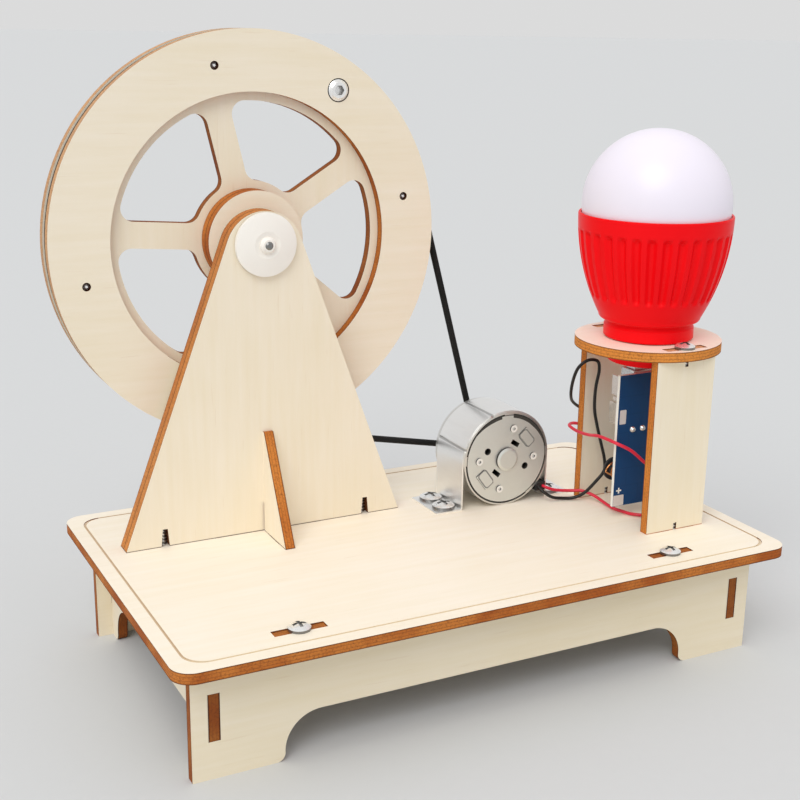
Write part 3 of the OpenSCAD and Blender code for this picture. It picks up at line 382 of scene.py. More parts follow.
def stand_burn_and_shade(n):
    """Painted shade as black walls in the tapered slots over the stand's two screws, brown edges elsewhere.
    """
    low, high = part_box("stand_screws")
    screws_at = (high.x - low.x) / 2 - (high.y - low.y) / 2
    past = n.apart(beside_screws(n, "stand_screws"), screws_at)
    above = n.minus(n.along(n.here(), Z_AXIS), high.z)
    # Painted shade: the walls of the slots are near-black.
    return n.between(n.max(past, above), STAND_SLOT, STAND_SLOT + SLOT_SOFT, 1.9, 0.9)


# Materials
GRAIN_ALONG, GRAIN_ACROSS = 26.0, 420.0
THROUGH_REACH = (4 * MM, 4 * MM, 4 * MM)


def ply(node, grain, tone, burn=1.0, golden=0.0, *lines):
    """Plywood for one board: its thin direction and lower face come from its box.

    burn is how far the cut edges are charred, 0 to 2, or a mask that also paints shade in slots and holes and
    a highlight on the rings' rims; golden is how much of them is golden, partly a painted highlight on edges
    that face the light; and lines are masks for drawn lines, each with its colour."""
    low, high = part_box(node)
    size = high - low
    thin = min(range(3), key=lambda i: size[i])
    axis = Vector((0, 0, 0))
    axis[thin] = 1
    stretch = [GRAIN_ACROSS] * 3
    stretch["XYZ".index(grain)] = GRAIN_ALONG
    made, n, shader, cut = material("ply_" + node, PLY, Axis=axis, Low=low[thin], Thickness=size[thin],
                                    Stretch=stretch, Tone=tone, Burn=burn, Golden=golden)
    colour = cut["Color"]
    for mask, line_colour in lines:
        colour = n.mix(mask(n), colour, line_colour)
    surface(n, shader, colour, cut["Roughness"], Specular_IOR_Level=0.2)
    bump(n, shader, cut["Height"], 0.06 * MM, 0.25)
    return made


def tinted(n, colour, drawn):
    """A metal's colour with the tint of its drawn lines."""
    return n.mix(1.0, colour, drawn["Tint"], "MULTIPLY")


def metal(name, colour, rough, lines, stretch=(300, 300, 300), bare=1.0):
    """Drawn or rolled metal; bare is how metallic its surface is, less than 1 under a dull skin."""
    made, n, shader, drawn = material(name, METAL, Stretch=stretch, Lines=lines, Rough=rough)
    surface(n, shader, tinted(n, colour, drawn), drawn["Roughness"], Metallic=bare)
    return made


def screw_metal(name, axis):
    """Bright, nicked screws along an axis: their heads' flanks and the walls of their recess carry painted
    shade.
    """
    made, n, shader, drawn = material(name, METAL, Stretch=(700, 700, 700), Lines=0.16, Rough=0.30)
    # Painted shade: faces turned away from the axis are darkened.
    flank_shade = n.between(n.facing(axis), 0.30, 0.66, 0.85, 0.0)
    colour = n.mix(flank_shade, tinted(n, (0.97, 0.97, 0.96), drawn), (0.11, 0.105, 0.10))
    surface(n, shader, colour, drawn["Roughness"], Metallic=0.8)
    bump(n, shader, n.noise(n.here(), 900.0, 2.0), 0.3 * MM, 0.5)
    return made


def plastic(name, light, dark, rough, swing=0.08, scale=900.0, skin_height=0.01 * MM, through=0.0, gloss=0.5):
    """Moulded plastic between two close tones; through is how much light goes under its surface."""
    made, n, shader, skin = material(name, SKIN, Scale=scale, Rough=rough, Swing=swing)
    surface(n, shader, n.mix(skin["Shade"], light, dark), skin["Roughness"], Specular_IOR_Level=gloss,
            Subsurface_Weight=through, Subsurface_Radius=THROUGH_REACH, Subsurface_Scale=1.0)
    bump(n, shader, skin["Height"], skin_height)
    return made


def turned_wood():
    """The grip: straight grain along the crank, in three brown tones."""
    made, n, shader, skin = material("turned_wood", SKIN, Scale=500.0, Rough=0.42, Swing=0.15)
    grain = n.noise(n.vector("MULTIPLY", n.here(), (700, 30, 700)), 1.0, 5.0, 0.6)
    colour = n.ramp(grain, (0.3, (0.42, 0.24, 0.10)), (0.55, (0.60, 0.38, 0.18)), (0.75, (0.70, 0.48, 0.25)))
    surface(n, shader, colour, skin["Roughness"])
    bump(n, shader, grain, 0.05 * MM)
    return made


PLATE_STEP = 0.6 * MM
PAD_TURNS = (40.0, 217.0)
PAD_AT, PAD_HALF_WIDTH, PAD_HALF_LENGTH = 0.66, 0.12, 0.20
PAD_LINE, PAD_CORNER = 0.14 * MM, 1.1 * MM
RIM_SHADOW_REACH, CRIMP_NOTCH = 0.8 * MM, 2.2 * MM


def pad_edge_shade(n, across, turn, radius):
    """A dark line round a raised pad, painted shade at its step; the pad's place and size are shares of the
    plate's radius.
    """
    outward = n.along(across, around(turn))
    beside = n.abs(n.along(across, around(turn + math.pi / 2)))
    past_side = n.minus(n.apart(outward, PAD_AT * radius), PAD_HALF_WIDTH * radius - PAD_CORNER)
    past_end = n.minus(beside, PAD_HALF_LENGTH * radius - PAD_CORNER)
    past = n.abs(edge_distance(n, past_side, past_end, PAD_CORNER))
    return n.between(past, PAD_LINE, 2.2 * PAD_LINE, 0.7, 0.0)


def rim_shadow(n, across, radius):
    """A painted shadow under the can's rolled rim: wide at the top on both sides of a notch, thin below."""
    upper = n.between(n.along(across, (0.2, 0, 1)), 0.45 * radius, 0.8 * radius)
    beside = n.abs(n.along(across, X_AXIS))
    wide = n.times(upper, n.math("GREATER_THAN", beside, CRIMP_NOTCH))
    reach = n.plus(n.vector("LENGTH", across), n.times(wide, RIM_SHADOW_REACH))
    return n.math("GREATER_THAN", reach, radius)


def end_plate_steel():
    """The motor's end plate: satin, with painted shade on the side faces of its boss and openings and round
    its pads, and a painted shadow at its rim.
    """
    made, n, shader, drawn = material("end_plate_steel", METAL, Stretch=(120, 500, 120), Lines=0.12,
                                      Rough=0.42)
    low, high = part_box("motor_end_cap")
    step_radius = (high.x - low.x) / 2 - PLATE_STEP
    across = across_axis(n, "rotor_spin")
    side = n.math("LESS_THAN", n.facing(Y_AXIS), 0.5)
    # Painted shade and shadow: side faces, the rim's shadow and lines round the pads are darkened.
    dark = n.max(rim_shadow(n, across, step_radius), side)
    for turn in PAD_TURNS:
        dark = n.max(dark, pad_edge_shade(n, across, math.radians(turn), step_radius))
    bright = tinted(n, (0.745, 0.755, 0.72), drawn)
    colour = n.mix(n.times(dark, 0.97), bright, (0.03, 0.026, 0.022))
    surface(n, shader, colour, n.plus(drawn["Roughness"], n.times(dark, 0.4)))
    n.feed(shader.inputs["Metallic"], n.between(dark, 0.0, 1.0, 0.75, 0.1))
    return made


STRAP_CREASES = (110.0, 163.0)
CREASE_WIDTH = 0.25 * MM


def strap_steel():
    """The strap: bright sheet with two dents where it was bent round the can, each with a dark line of
    painted shade.
    """
    made, n, shader, drawn = material("strap_steel", METAL, Stretch=(600, 40, 600), Lines=0.10, Rough=0.33)
    across = across_axis(n, "rotor_spin")
    crease = 0.0
    for turn in map(math.radians, STRAP_CREASES):
        beside = n.abs(n.along(across, around(turn + math.pi / 2)))
        ahead = n.math("GREATER_THAN", n.along(across, around(turn)), 0.0)
        line = n.between(beside, CREASE_WIDTH, 2.5 * CREASE_WIDTH, 1.0, 0.0)
        crease = n.max(crease, n.times(line, ahead))
    bright = tinted(n, (0.97, 0.965, 0.95), drawn)
    # Painted shade: a dark line along each dent.
    colour = n.mix(n.times(crease, 0.55), bright, (0.20, 0.19, 0.18))
    surface(n, shader, colour, drawn["Roughness"], Metallic=1.0)
    bump(n, shader, n.minus(1.0, crease), 0.3 * MM, 0.6)
    return made


def brush_plate_plastic():
    """White plastic whose side faces and opening walls are painted near-black, as shade."""
    made, n, shader, skin = material("brush_plate", SKIN, Scale=900.0, Rough=0.45, Swing=0.1)
    white = n.mix(skin["Shade"], (0.93, 0.91, 0.86), (0.88, 0.85, 0.80))
    side = n.math("LESS_THAN", n.facing(Y_AXIS), 0.5)
    # Painted shade: side faces and the walls of the openings are near-black.
    surface(n, shader, n.mix(side, white, (0.02, 0.018, 0.016)), skin["Roughness"])
    bump(n, shader, skin["Height"], 0.01 * MM)
    return made


def solder_mask():
    """The blue board: faint copper areas under the mask, and pale cut edges."""
    made, n, shader, skin = material("solder_mask", SKIN, Scale=700.0, Rough=0.3, Swing=0.1)
    upright = n.first("ShaderNodeMapping", {"Vector": n.here(), "Rotation": (math.pi / 2, 0, 0)})
    areas = n.add("ShaderNodeTexBrick", {"Vector": upright, "Scale": 90.0, "Mortar Size": 0.018,
                                         "Brick Width": 0.9, "Row Height": 0.55}).outputs["Fac"]
    blue = n.mix(areas, (0.011, 0.058, 0.172), (0.010, 0.053, 0.158))
    edge = n.math("LESS_THAN", n.facing(Y_AXIS), 0.6)
    rough = n.plus(skin["Roughness"], n.times(edge, 0.3))
    surface(n, shader, n.mix(edge, blue, (0.88, 0.87, 0.82)), rough, Specular_IOR_Level=0.25)
    bump(n, shader, areas, 0.03 * MM, 0.1)
    return made


# Colour, roughness, strength of the lines, their stretch, and how bare the metal is
METALS = {
    "thread_steel": ((0.80, 0.80, 0.79), 0.30, 0.16, (700, 700, 700)),
    "axle_steel": ((0.27, 0.27, 0.265), 0.34, 0.10, (900, 40, 900)),
    "can_steel": ((0.76, 0.75, 0.72), 0.32, 0.10, (600, 40, 600)),
    "socket_steel": ((0.72, 0.71, 0.70), 0.26, 0.10, (60, 500, 500)),
    # The wing's grey metal is tinted pinkish tan, a painted reflection of the plywood beside it.
    "socket_sheet_painted_reflection": ((0.74, 0.66, 0.60), 0.22, 0.16, (60, 500, 500)),
    "solder": ((0.80, 0.79, 0.77), 0.18, 0.15, (500, 500, 500)),
    "tinned_pad": ((0.86, 0.80, 0.78), 0.38, 0.16, (500, 500, 500), 0.3),
    "bronze": ((0.56, 0.34, 0.15), 0.34, 0.14),
    "enamelled_copper": ((0.66, 0.29, 0.11), 0.24, 0.12, (900, 900, 900)),
    "laminations": ((0.16, 0.16, 0.17), 0.5, 0.2, (60, 3000, 60)),
}

# Two tones, roughness, and what differs from plastic's usual values
PLASTICS = {
    "white_plastic": ((0.99, 0.95, 0.885), (0.97, 0.92, 0.85), 0.42, dict(through=0.1, gloss=0.3)),
    "black_plastic": ((0.022, 0.022, 0.022), (0.012, 0.012, 0.012), 0.5, {}),
    "ferrite": ((0.030, 0.030, 0.032), (0.016, 0.016, 0.018), 0.65, dict(scale=1600.0)),
    "magnet": ((0.050, 0.050, 0.054), (0.030, 0.030, 0.034), 0.6, dict(scale=1400.0)),
    "red_plastic": ((0.98, 0.005, 0.009), (0.92, 0.003, 0.007), 0.34, dict(gloss=0.10)),
    "dome_plastic": ((0.95, 0.885, 1.0), (0.935, 0.87, 1.0), 0.34, dict(through=0.2)),
    "led_board": ((0.82, 0.82, 0.80), (0.76, 0.76, 0.74), 0.5, {}),
    "belt_rubber": ((0.010, 0.010, 0.010), (0.005, 0.006, 0.005), 0.62,
                    dict(swing=0.2, scale=2200.0, skin_height=0.04 * MM, gloss=0.25)),
    "red_sheath": ((0.80, 0.020, 0.060), (0.68, 0.014, 0.042), 0.32, dict(swing=0.15, scale=1500.0)),
    "black_sheath": ((0.022, 0.019, 0.017), (0.011, 0.010, 0.009), 0.36,
                     dict(swing=0.15, scale=1500.0, gloss=0.35)),
}

FINISH = {
    "upright_screw": screw_metal("upright_screw", Z_AXIS),
    "cross_screw": screw_metal("cross_screw", Y_AXIS),
    "strap_steel": strap_steel(),
    "end_plate_steel": end_plate_steel(),
    "brush_plate": brush_plate_plastic(),
    "turned_wood": turned_wood(),
    "solder_mask": solder_mask(),
    **{name: metal(name, *values) for name, values in METALS.items()},
    **{name: plastic(name, *usual, **other) for name, (*usual, other) in PLASTICS.items()},
}

# Each board's grain direction, tone, burn and golden share, and its drawn lines. Some burns are masks that
# also paint shade and a highlight, and the golden share is partly a painted highlight.
BOARD_LOOK = {
    "deck_plate": ("X", 0.05, 1.1, 0.0, (engraved_line, ENGRAVED_PALE), (engraved_burn, ENGRAVED)),
    # The aprons' deep tones are partly painted shade, as under the deck's overhang.
    "front_apron": ("X", 0.95, 1.35), "rear_apron": ("X", 0.85, 1.35),
    "left_end_board": ("Y", 0.45, 1.5), "right_end_board": ("Y", 0.5, 1.55),
    "stand_front_board": ("Z", 0.6, stand_burn_and_shade, 0.5, (foot_seam, CHAR)),
    "stand_rear_board": ("Z", 0.5, stand_burn_and_shade, 0.3, (foot_seam, CHAR)),
    "stand_brace": ("Z", 0.45, 1.05, 0.2, (foot_seam, CHAR)),
    "front_hub_disc": ("X", 0.5), "rear_hub_disc": ("Z", 0.5), "front_ring": ("X", 0.6, ring_burn_and_light),
    "spoke_disc": ("Z", 0.65, 1.5), "rear_ring": ("X", 0.5, ring_burn_and_light),
    "lamp_front_post": ("Z", 0.7, post_burn_and_shade, 0.5, (foot_seam, BURNT)),
    "lamp_rear_post": ("Z", 0.7, post_burn_and_shade, 0.4, (foot_seam, BURNT)),
    "lamp_disc": ("X", 0.0, 1.0, 0.75),
}

NODE_FINISH = {
    "upright_screw": "deck_screws stand_screws strap_screws disc_screws post_screws",
    "cross_screw": "ring_screws crank_bolt crank_nut crank_end_nut",
    "axle_steel": "axle motor_shaft",
    "can_steel": "motor_can",
    "strap_steel": "motor_strap",
    "end_plate_steel": "motor_end_cap",
    "socket_steel": "usb_socket bulb_plug_shell",
    "bronze": "motor_bearings motor_commutator",
    "laminations": "motor_core",
    "white_plastic": "front_axle_cap rear_axle_cap motor_pulley socket_tongue bulb_plug_insert",
    "brush_plate": "motor_brush_plate",
    "black_plastic": "motor_terminals board_parts",
    "ferrite": "inductor_core",
    "magnet": "motor_magnet",
    "dome_plastic": "bulb_dome",
    "led_board": "bulb_led_board",
    "turned_wood": "crank_grip",
    "solder_mask": "usb_board",
}


def paint(obj, finish):
    obj.data.materials.clear()
    obj.data.materials.append(finish)


def dress_solids():
    for node, look in BOARD_LOOK.items():
        paint(frame["nodes"][node], ply(node, *look))
    for finish, nodes in NODE_FINISH.items():
        for node in nodes.split():
            paint(frame["nodes"][node], FINISH[finish])


# Making and placing pieces


def link(obj):
    bpy.context.scene.collection.objects.link(obj)


def place(obj, body, slot, *nodes):
    """Links a finished piece, lets it ride on its body, and hides the solids that it stands for; its slot is
    not used.
    """
    link(obj)
    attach(obj, body)
    if nodes:
        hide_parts(*nodes)


def finished(name, bm, finish, crease=35.0):
    """A piece from a mesh in work: faces outwards, smooth except at edges bent by more than the crease."""
    bmesh.ops.recalc_face_normals(bm, faces=bm.faces)
    mesh = bpy.data.meshes.new(name)
    bm.to_mesh(mesh)
    bm.free()
    mesh.shade_smooth()
    mesh.set_sharp_from_angle(angle=math.radians(crease))
    made = bpy.data.objects.new(name, mesh)
    paint(made, finish)
    return made


def circle(bm, centre, side, over, radius, steps):
    """New points round a centre, in the plane of two directions."""
    turns = (2 * math.pi * k / steps for k in range(steps))
    return [bm.verts.new(centre + radius * (math.cos(a) * side + math.sin(a) * over)) for a in turns]


def join_rings(bm, rings):
    """Faces from each ring of points to the next."""
    for first, second in zip(rings, rings[1:]):
        for k in range(len(first)):
            bm.faces.new((first[k - 1], first[k], second[k], second[k - 1]))


def solid_rings(bm, rings):
    """Faces from each ring of points to the next, and over the two ends."""
    join_rings(bm, rings)
    bm.faces.new(reversed(rings[0]))
    bm.faces.new(rings[-1])


def tube(name, path, radius, sides, finish, closed=False):
    """A round tube along a path, with a carried frame so that it doesn't twist."""
    bm = bmesh.new()
    before, after = (path[-1], path[0]) if closed else (path[0], path[-1])
    stretched = [before, *path, after]
    side = None
    rings = []
    for behind, point, ahead in zip(stretched, path, stretched[2:]):
        way = (ahead - behind).normalized()
        if side is None:
            side = way.orthogonal()
        side = (side - side.dot(way) * way).normalized()
        rings.append(circle(bm, point, side, way.cross(side), radius, sides))
    if closed:
        join_rings(bm, rings + rings[:1])
    else:
        solid_rings(bm, rings)
    return finished(name, bm, finish, crease=180.0)


def lathe(bm, at, way, profile, steps=20):
    """Turns a profile of (radius, height) pairs round a line from at along way."""
    side = way.orthogonal().normalized()
    over = way.cross(side).normalized()
    solid_rings(bm, [circle(bm, at + way * height, side, over, radius, steps) for radius, height in profile])


def prism(bm, outline, way):
    """A flat outline made solid along way."""
    solid_rings(bm, [[bm.verts.new(p) for p in outline], [bm.verts.new(p + way) for p in outline]])


def rounded_outline(centre, half_x, half_z, corner, steps):
    """A rectangle with rounded corners about a centre, on a plane across Y."""
    points = []
    for quarter, (x, z) in enumerate(((1, 1), (-1, 1), (-1, -1), (1, -1))):
        bend = centre + Vector((x * (half_x - corner), 0, z * (half_z - corner)))
        points += [bend + around(math.pi / 2 * (quarter + k / steps), corner) for k in range(steps + 1)]
    return points


def smooth_curve(route, steps):
    """Points of a smooth curve through the route's points."""
    points, last = [], len(route) - 1
    for i in range(last):
        a, b, c, d = (route[max(0, min(last, j))] for j in range(i - 1, i + 3))
        for k in range(steps):
            t = k / steps
            points.append(0.5 * (2 * b + (c - a) * t + (2 * a - 5 * b + 4 * c - d) * t * t
                                 + (3 * b - a - 3 * c + d) * t * t * t))
    return points + [route[last]]


# The wires, in millimetres from the middle of the deck
WIRE_RADIUS = 0.55 * MM
RED_ROUTE = [
    (52.6, 9.8, 42.3), (53.2, 8.4, 42), (56, 7.4, 41), (60, 6, 40.6), (62.5, 4.6, 40.7), (64.5, 3, 40.8),
    (67, 0, 39.8), (68, -4, 38.8), (68, -9, 38.4), (69, -14, 38.4), (71, -18, 38.4), (75, -21, 38.8),
    (78.5, -23.5, 42), (78, -24, 48), (74.5, -23, 54.5), (70.5, -21.5, 58), (66, -20.5, 62),
    (61.5, -18.5, 64.5), (60, -11, 65), (60.5, -4, 63.5), (60.8, 3, 62.8), (61.5, 8.5, 63.2),
    (65, 10.4, 63), (72, 10.4, 61), (80, 10.4, 58), (86, 10, 55), (89, 6, 52.5), (89, 0, 50),
    (86, -6, 47.5), (81, -10, 46), (78, -12.6, 45.5),
]
BLACK_ROUTE = [
    (50.8, 9.8, 42.3), (51.2, 7.6, 41.2), (54, 5.8, 39.2), (58, 5.2, 38.4), (61.5, 3.6, 38.6),
    (64.5, 1.8, 40.5), (68, 0.5, 44.5), (70.8, 0, 48), (70.8, 0, 52), (69, 0, 58), (66.8, 0, 65),
    (65.4, 0, 71), (65.4, 0, 78), (66.4, 0, 84), (65.8, 0.4, 87.2), (62.5, 1.2, 87.6), (59.8, 2.6, 85),
    (59.6, 5, 80), (61.5, 8.5, 74), (65, 11.6, 70), (71, 12.6, 66), (79, 12.6, 60.5), (87, 12, 55.5),
    (91.4, 8, 52.5), (91.4, 1, 50), (89, -6, 47.5), (85.5, -10.5, 46), (83, -12.6, 45.5),
]
ROUTE_STEPS = 8


def wire(node, route, finish):
    """A sheathed wire from the motor's terminals to the back of the circuit board."""
    name = node + "_cord"
    board_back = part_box("usb_board")[1].y
    path = smooth_curve([deck_point(*p) for p in route], ROUTE_STEPS)
    path += [Vector((path[-1].x, y, path[-1].z)) for y in ((path[-1].y + board_back) / 2, board_back)]
    curve = bpy.data.curves.new(name, "CURVE")
    curve.dimensions = "3D"
    curve.bevel_depth = WIRE_RADIUS
    curve.bevel_resolution = 3
    curve.use_fill_caps = True
    spline = curve.splines.new("POLY")
    spline.points.add(len(path) - 1)
    for spot, point in zip(spline.points, path):
        spot.co = (*point, 1)
    spline.use_smooth = True
    cord = bpy.data.objects.new(name, curve)
    paint(cord, finish)
    place(cord, "frame", node, node)


# The belt and the inductor
BELT_SIDES, WHEEL_STEPS, PULLEY_STEPS = 16, 120, 20
INDUCTOR_WIRE, INDUCTOR_WAIST = 0.3 * MM, 2.2 * MM
INDUCTOR_FROM, INDUCTOR_TO = 1.55 * MM, 1.25 * MM
INDUCTOR_TURNS, INDUCTOR_STEPS, INDUCTOR_SIDES = 4.5, 32, 10
LEAD_UP_STEPS, LEAD_DOWN_STEPS = 3, 6


def belt():
    """The round belt: an arc on each wheel and the two straight runs between them."""
    low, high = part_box("drive_belt")
    thickness = high.y - low.y
    wheel, motor = PIVOT["wheel_spin"], PIVOT["rotor_spin"]
    wheel_radius = wheel.x - low.x - thickness / 2
    pulley_radius = wheel_radius / frame["record"]["behaviour"]["couplings"][0]["ratio"]
    span = math.hypot(motor.x - wheel.x, motor.z - wheel.z)
    way = math.atan2(motor.z - wheel.z, motor.x - wheel.x)
    wrap = math.acos((wheel_radius - pulley_radius) / span)
    path = []
    for axis, radius, first, sweep, steps in (
            (wheel, wheel_radius, way + wrap, 2 * math.pi - 2 * wrap, WHEEL_STEPS),
            (motor, pulley_radius, way - wrap, 2 * wrap, PULLEY_STEPS)):
        centre = Vector((axis.x, (low.y + high.y) / 2, axis.z))
        path += [centre + around(first + sweep * i / steps, radius) for i in range(steps + 1)]
    made = tube("belt", path, thickness / 2, BELT_SIDES, FINISH["belt_rubber"], closed=True)
    place(made, "frame", "belt_rubber", "drive_belt")


def inductor_coil():
    """The inductor's wire: up from the board, round the core, and down to the board again."""
    low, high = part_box("inductor_winding")
    core = middle("inductor_core")
    board_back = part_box("usb_board")[1].y
    lead_radius = (high.x - core.x) - INDUCTOR_WIRE
    coil_radius = INDUCTOR_WAIST + 2 * INDUCTOR_WIRE
    start, end = low.y + INDUCTOR_FROM, high.y - INDUCTOR_TO

    def spot(turn, radius, y):
        return Vector((core.x, y, core.z)) + around(turn, radius)

    path = [spot(0, lead_radius, board_back + (start - board_back) * k / LEAD_UP_STEPS)
            for k in range(LEAD_UP_STEPS)]
    rounds = int(INDUCTOR_TURNS * INDUCTOR_STEPS)
    for i in range(rounds + 1):
        near_lead = max(0.0, 1 - 4 * min(i, rounds - i) / INDUCTOR_STEPS)
        path.append(spot(2 * math.pi * i / INDUCTOR_STEPS,
                         coil_radius + (lead_radius - coil_radius) * near_lead,
                         start + (end - start) * i / rounds))
    path += [spot(2 * math.pi * INDUCTOR_TURNS, lead_radius, end + (board_back - end) * k / LEAD_DOWN_STEPS)
             for k in range(1, LEAD_DOWN_STEPS + 1)]
    made = tube("inductor_coil", path, INDUCTOR_WIRE, INDUCTOR_SIDES, FINISH["enamelled_copper"])
    place(made, "frame", "copper", "inductor_winding")


# The bulb's cup: a neck, a collar and a fluted bell
NECK_RADIUS = 12.7 * MM
COLLAR_RADIUS, COLLAR_HEIGHT, COLLAR_NECK = 14.4 * MM, 4.1 * MM, 1.6 * MM
BELL_HEIGHT, BELL_CURVE, BELL_STEPS = 33.9 * MM, 69.7 * MM, 56
FLUTES, FLUTE_DEPTH, FLUTE_SHARE, FLUTE_STEPS = 32, 1.35 * MM, 0.55, 12
FLUTE_LOW, FLUTE_HIGH, FLUTE_END = 7.4 * MM, 28.9 * MM, 1.2 * MM
RIM_WALL, DOME_SEAT, SOFT_EDGE = 0.8 * MM, 2.2 * MM, 0.35 * MM
LAMP_BOARD_SEAT, LAMP_BOARD_RADIUS = 3.8 * MM, 22.1 * MM
HOLLOW_LOW, HOLLOW_RADIUS, AXIS_GAP = 8.0 * MM, 15.7 * MM, 0.001 * MM
FOOT_ROUND, FOOT_STEPS = 1.3 * MM, 6


def flute_depth(turn, height):
    """How deep a flute is at a turn round the bell and a height above its foot."""
    across = abs((turn * FLUTES / (2 * math.pi)) % 1.0 - 0.5) * 2
    hollow = max(0.0, math.cos(min(1.0, across / FLUTE_SHARE) * math.pi / 2)) ** 0.5
    ends = min(height - FLUTE_LOW, FLUTE_HIGH - height) / FLUTE_END
    return FLUTE_DEPTH * hollow * max(0.0, min(1.0, ends))


def bell_radius(height, rim_radius):
    return rim_radius - BELL_CURVE + math.sqrt(BELL_CURVE ** 2 - (BELL_HEIGHT - height) ** 2)


def neck_profile(low, foot):
    """The cup's section from under the neck over the collar to the bell's foot, as (radius, height)."""
    collar_low, collar_high = foot - COLLAR_NECK - COLLAR_HEIGHT, foot - COLLAR_NECK
    return [(AXIS_GAP, low), (NECK_RADIUS - SOFT_EDGE, low), (NECK_RADIUS, low + SOFT_EDGE),
            (NECK_RADIUS, collar_low), (COLLAR_RADIUS - SOFT_EDGE, collar_low),
            (COLLAR_RADIUS, collar_low + SOFT_EDGE), (COLLAR_RADIUS, collar_high - SOFT_EDGE),
            (COLLAR_RADIUS - SOFT_EDGE, collar_high),
            (COLLAR_RADIUS - 2 * SOFT_EDGE, foot - 0.5 * COLLAR_NECK), (COLLAR_RADIUS - SOFT_EDGE, foot)]


def foot_profile(rim_radius, foot):
    """The rounded foot of the bell."""
    points = []
    for k in range(FOOT_STEPS):
        a = math.pi / 2 * k / FOOT_STEPS
        points.append((bell_radius(FOOT_ROUND, rim_radius) - FOOT_ROUND * (1 - math.sin(a)),
                       foot + FOOT_ROUND * (1 - math.cos(a))))
    return points


def inside_profile(rim_radius, foot, top):
    """The cup's section from the rim over the seats of the dome and the lamp board into the hollow."""
    board = top - LAMP_BOARD_SEAT
    return [(rim_radius - 0.5 * SOFT_EDGE, top), (rim_radius - RIM_WALL, top - 0.3 * SOFT_EDGE),
            (rim_radius - RIM_WALL, top - DOME_SEAT), (LAMP_BOARD_RADIUS, top - DOME_SEAT),
            (LAMP_BOARD_RADIUS, board), (HOLLOW_RADIUS, board), (HOLLOW_RADIUS, foot + HOLLOW_LOW),
            (AXIS_GAP, foot + HOLLOW_LOW)]


def cup_profile(rim_radius, low, foot, top):
    """Half a section of the cup as (radius, height, fluted), from under the neck into the hollow."""
    rise = (BELL_HEIGHT - SOFT_EDGE - FOOT_ROUND) / (BELL_STEPS - 1)
    heights = [FOOT_ROUND + rise * i for i in range(BELL_STEPS)]
    below = neck_profile(low, foot) + foot_profile(rim_radius, foot)
    return ([(radius, z, False) for radius, z in below]
            + [(bell_radius(height, rim_radius), foot + height, True) for height in heights]
            + [(radius, z, False) for radius, z in inside_profile(rim_radius, foot, top)])


def bulb_cup():
    """The red moulding, from the neck under the disc to the rim round the dome."""
    low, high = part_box("bulb_cup")
    centre = middle("bulb_cup")
    foot = high.z - BELL_HEIGHT
    count = FLUTE_STEPS * FLUTES
    turns = [2 * math.pi * k / count for k in range(count)]
    bm = bmesh.new()
    rings = []
    for radius, z, fluted in cup_profile((high.x - low.x) / 2, low.z, foot, high.z):
        reach = [radius - (flute_depth(a, z - foot) if fluted else 0.0) for a in turns]
        rings.append([bm.verts.new((centre.x + r * math.cos(a), centre.y + r * math.sin(a), z))
                      for a, r in zip(turns, reach)])
    solid_rings(bm, rings)
    place(finished("fluted_cup", bm, FINISH["red_plastic"]), "bulb", "red_plastic", "bulb_cup")


# Pieces that repeat, grown with geometry nodes


def row(n, piece, count, start, step, **turn):
    """Copies of a piece on the points of a line."""
    line = n.first("GeometryNodeMeshLine", {"Count": count, "Start Location": start, "Offset": step})
    return n.first("GeometryNodeInstanceOnPoints", {"Points": line, "Instance": piece, **turn})


def end_growth(n, out, placed, finish):
    """Realizes what was placed and gives it its finish."""
    whole = n.first("GeometryNodeRealizeInstances", {"Geometry": placed})
    n.feed(out["Geometry"], n.first("GeometryNodeSetMaterial", {"Geometry": whole, "Material": finish}))
    return n.tree


def grow(name, tree, finish, **values):
    """Runs a geometry tree and keeps its result as a plain mesh."""
    host = bpy.data.objects.new(name + "_host", bpy.data.meshes.new(name + "_host"))
    link(host)
    modifier = host.modifiers.new("grow", "NODES")
    modifier.node_group = tree
    for item in tree.interface.items_tree:
        if item.in_out == "INPUT" and item.name in values:
            modifier[item.identifier] = values[item.name]
    bpy.context.view_layer.update()
    graph = bpy.context.evaluated_depsgraph_get()
    mesh = bpy.data.meshes.new_from_object(host.evaluated_get(graph), depsgraph=graph)
    bpy.data.objects.remove(host)
    mesh.name = name
    mesh.shade_smooth()
    made = bpy.data.objects.new(name, mesh)
    paint(made, finish)
    return made


def thread_tree(finish):
    """A row of screw threads: one ridge wound up each shank."""
    n, given, out = group("Screw threads", {"Geometry": "Geometry"}, "GeometryNodeTree", Count=2,
                          First=(0, 0, 0), Step=(0, 0, 0), Turns=6.0, Radius=0.001, Length=0.006,
                          Ridge=0.0003)
    winding = n.first("GeometryNodeCurveSpiral", {
        "Resolution": 20, "Rotations": given["Turns"], "Start Radius": given["Radius"],
        "End Radius": given["Radius"], "Height": given["Length"]})
    ridge = n.first("GeometryNodeCurvePrimitiveCircle", {"Resolution": 5, "Radius": given["Ridge"]})
    thread = n.first("GeometryNodeCurveToMesh", {"Curve": winding, "Profile Curve": ridge, "Fill Caps": True})
    return end_growth(n, out, row(n, thread, given["Count"], given["First"], given["Step"]), finish)


SHANK_RADIUS, SHANK_END, UNTHREADED = 1.2 * MM, 0.6 * MM, 3.2 * MM
THREAD_PITCH, THREAD_RIDGE = 1.1 * MM, 0.28 * MM


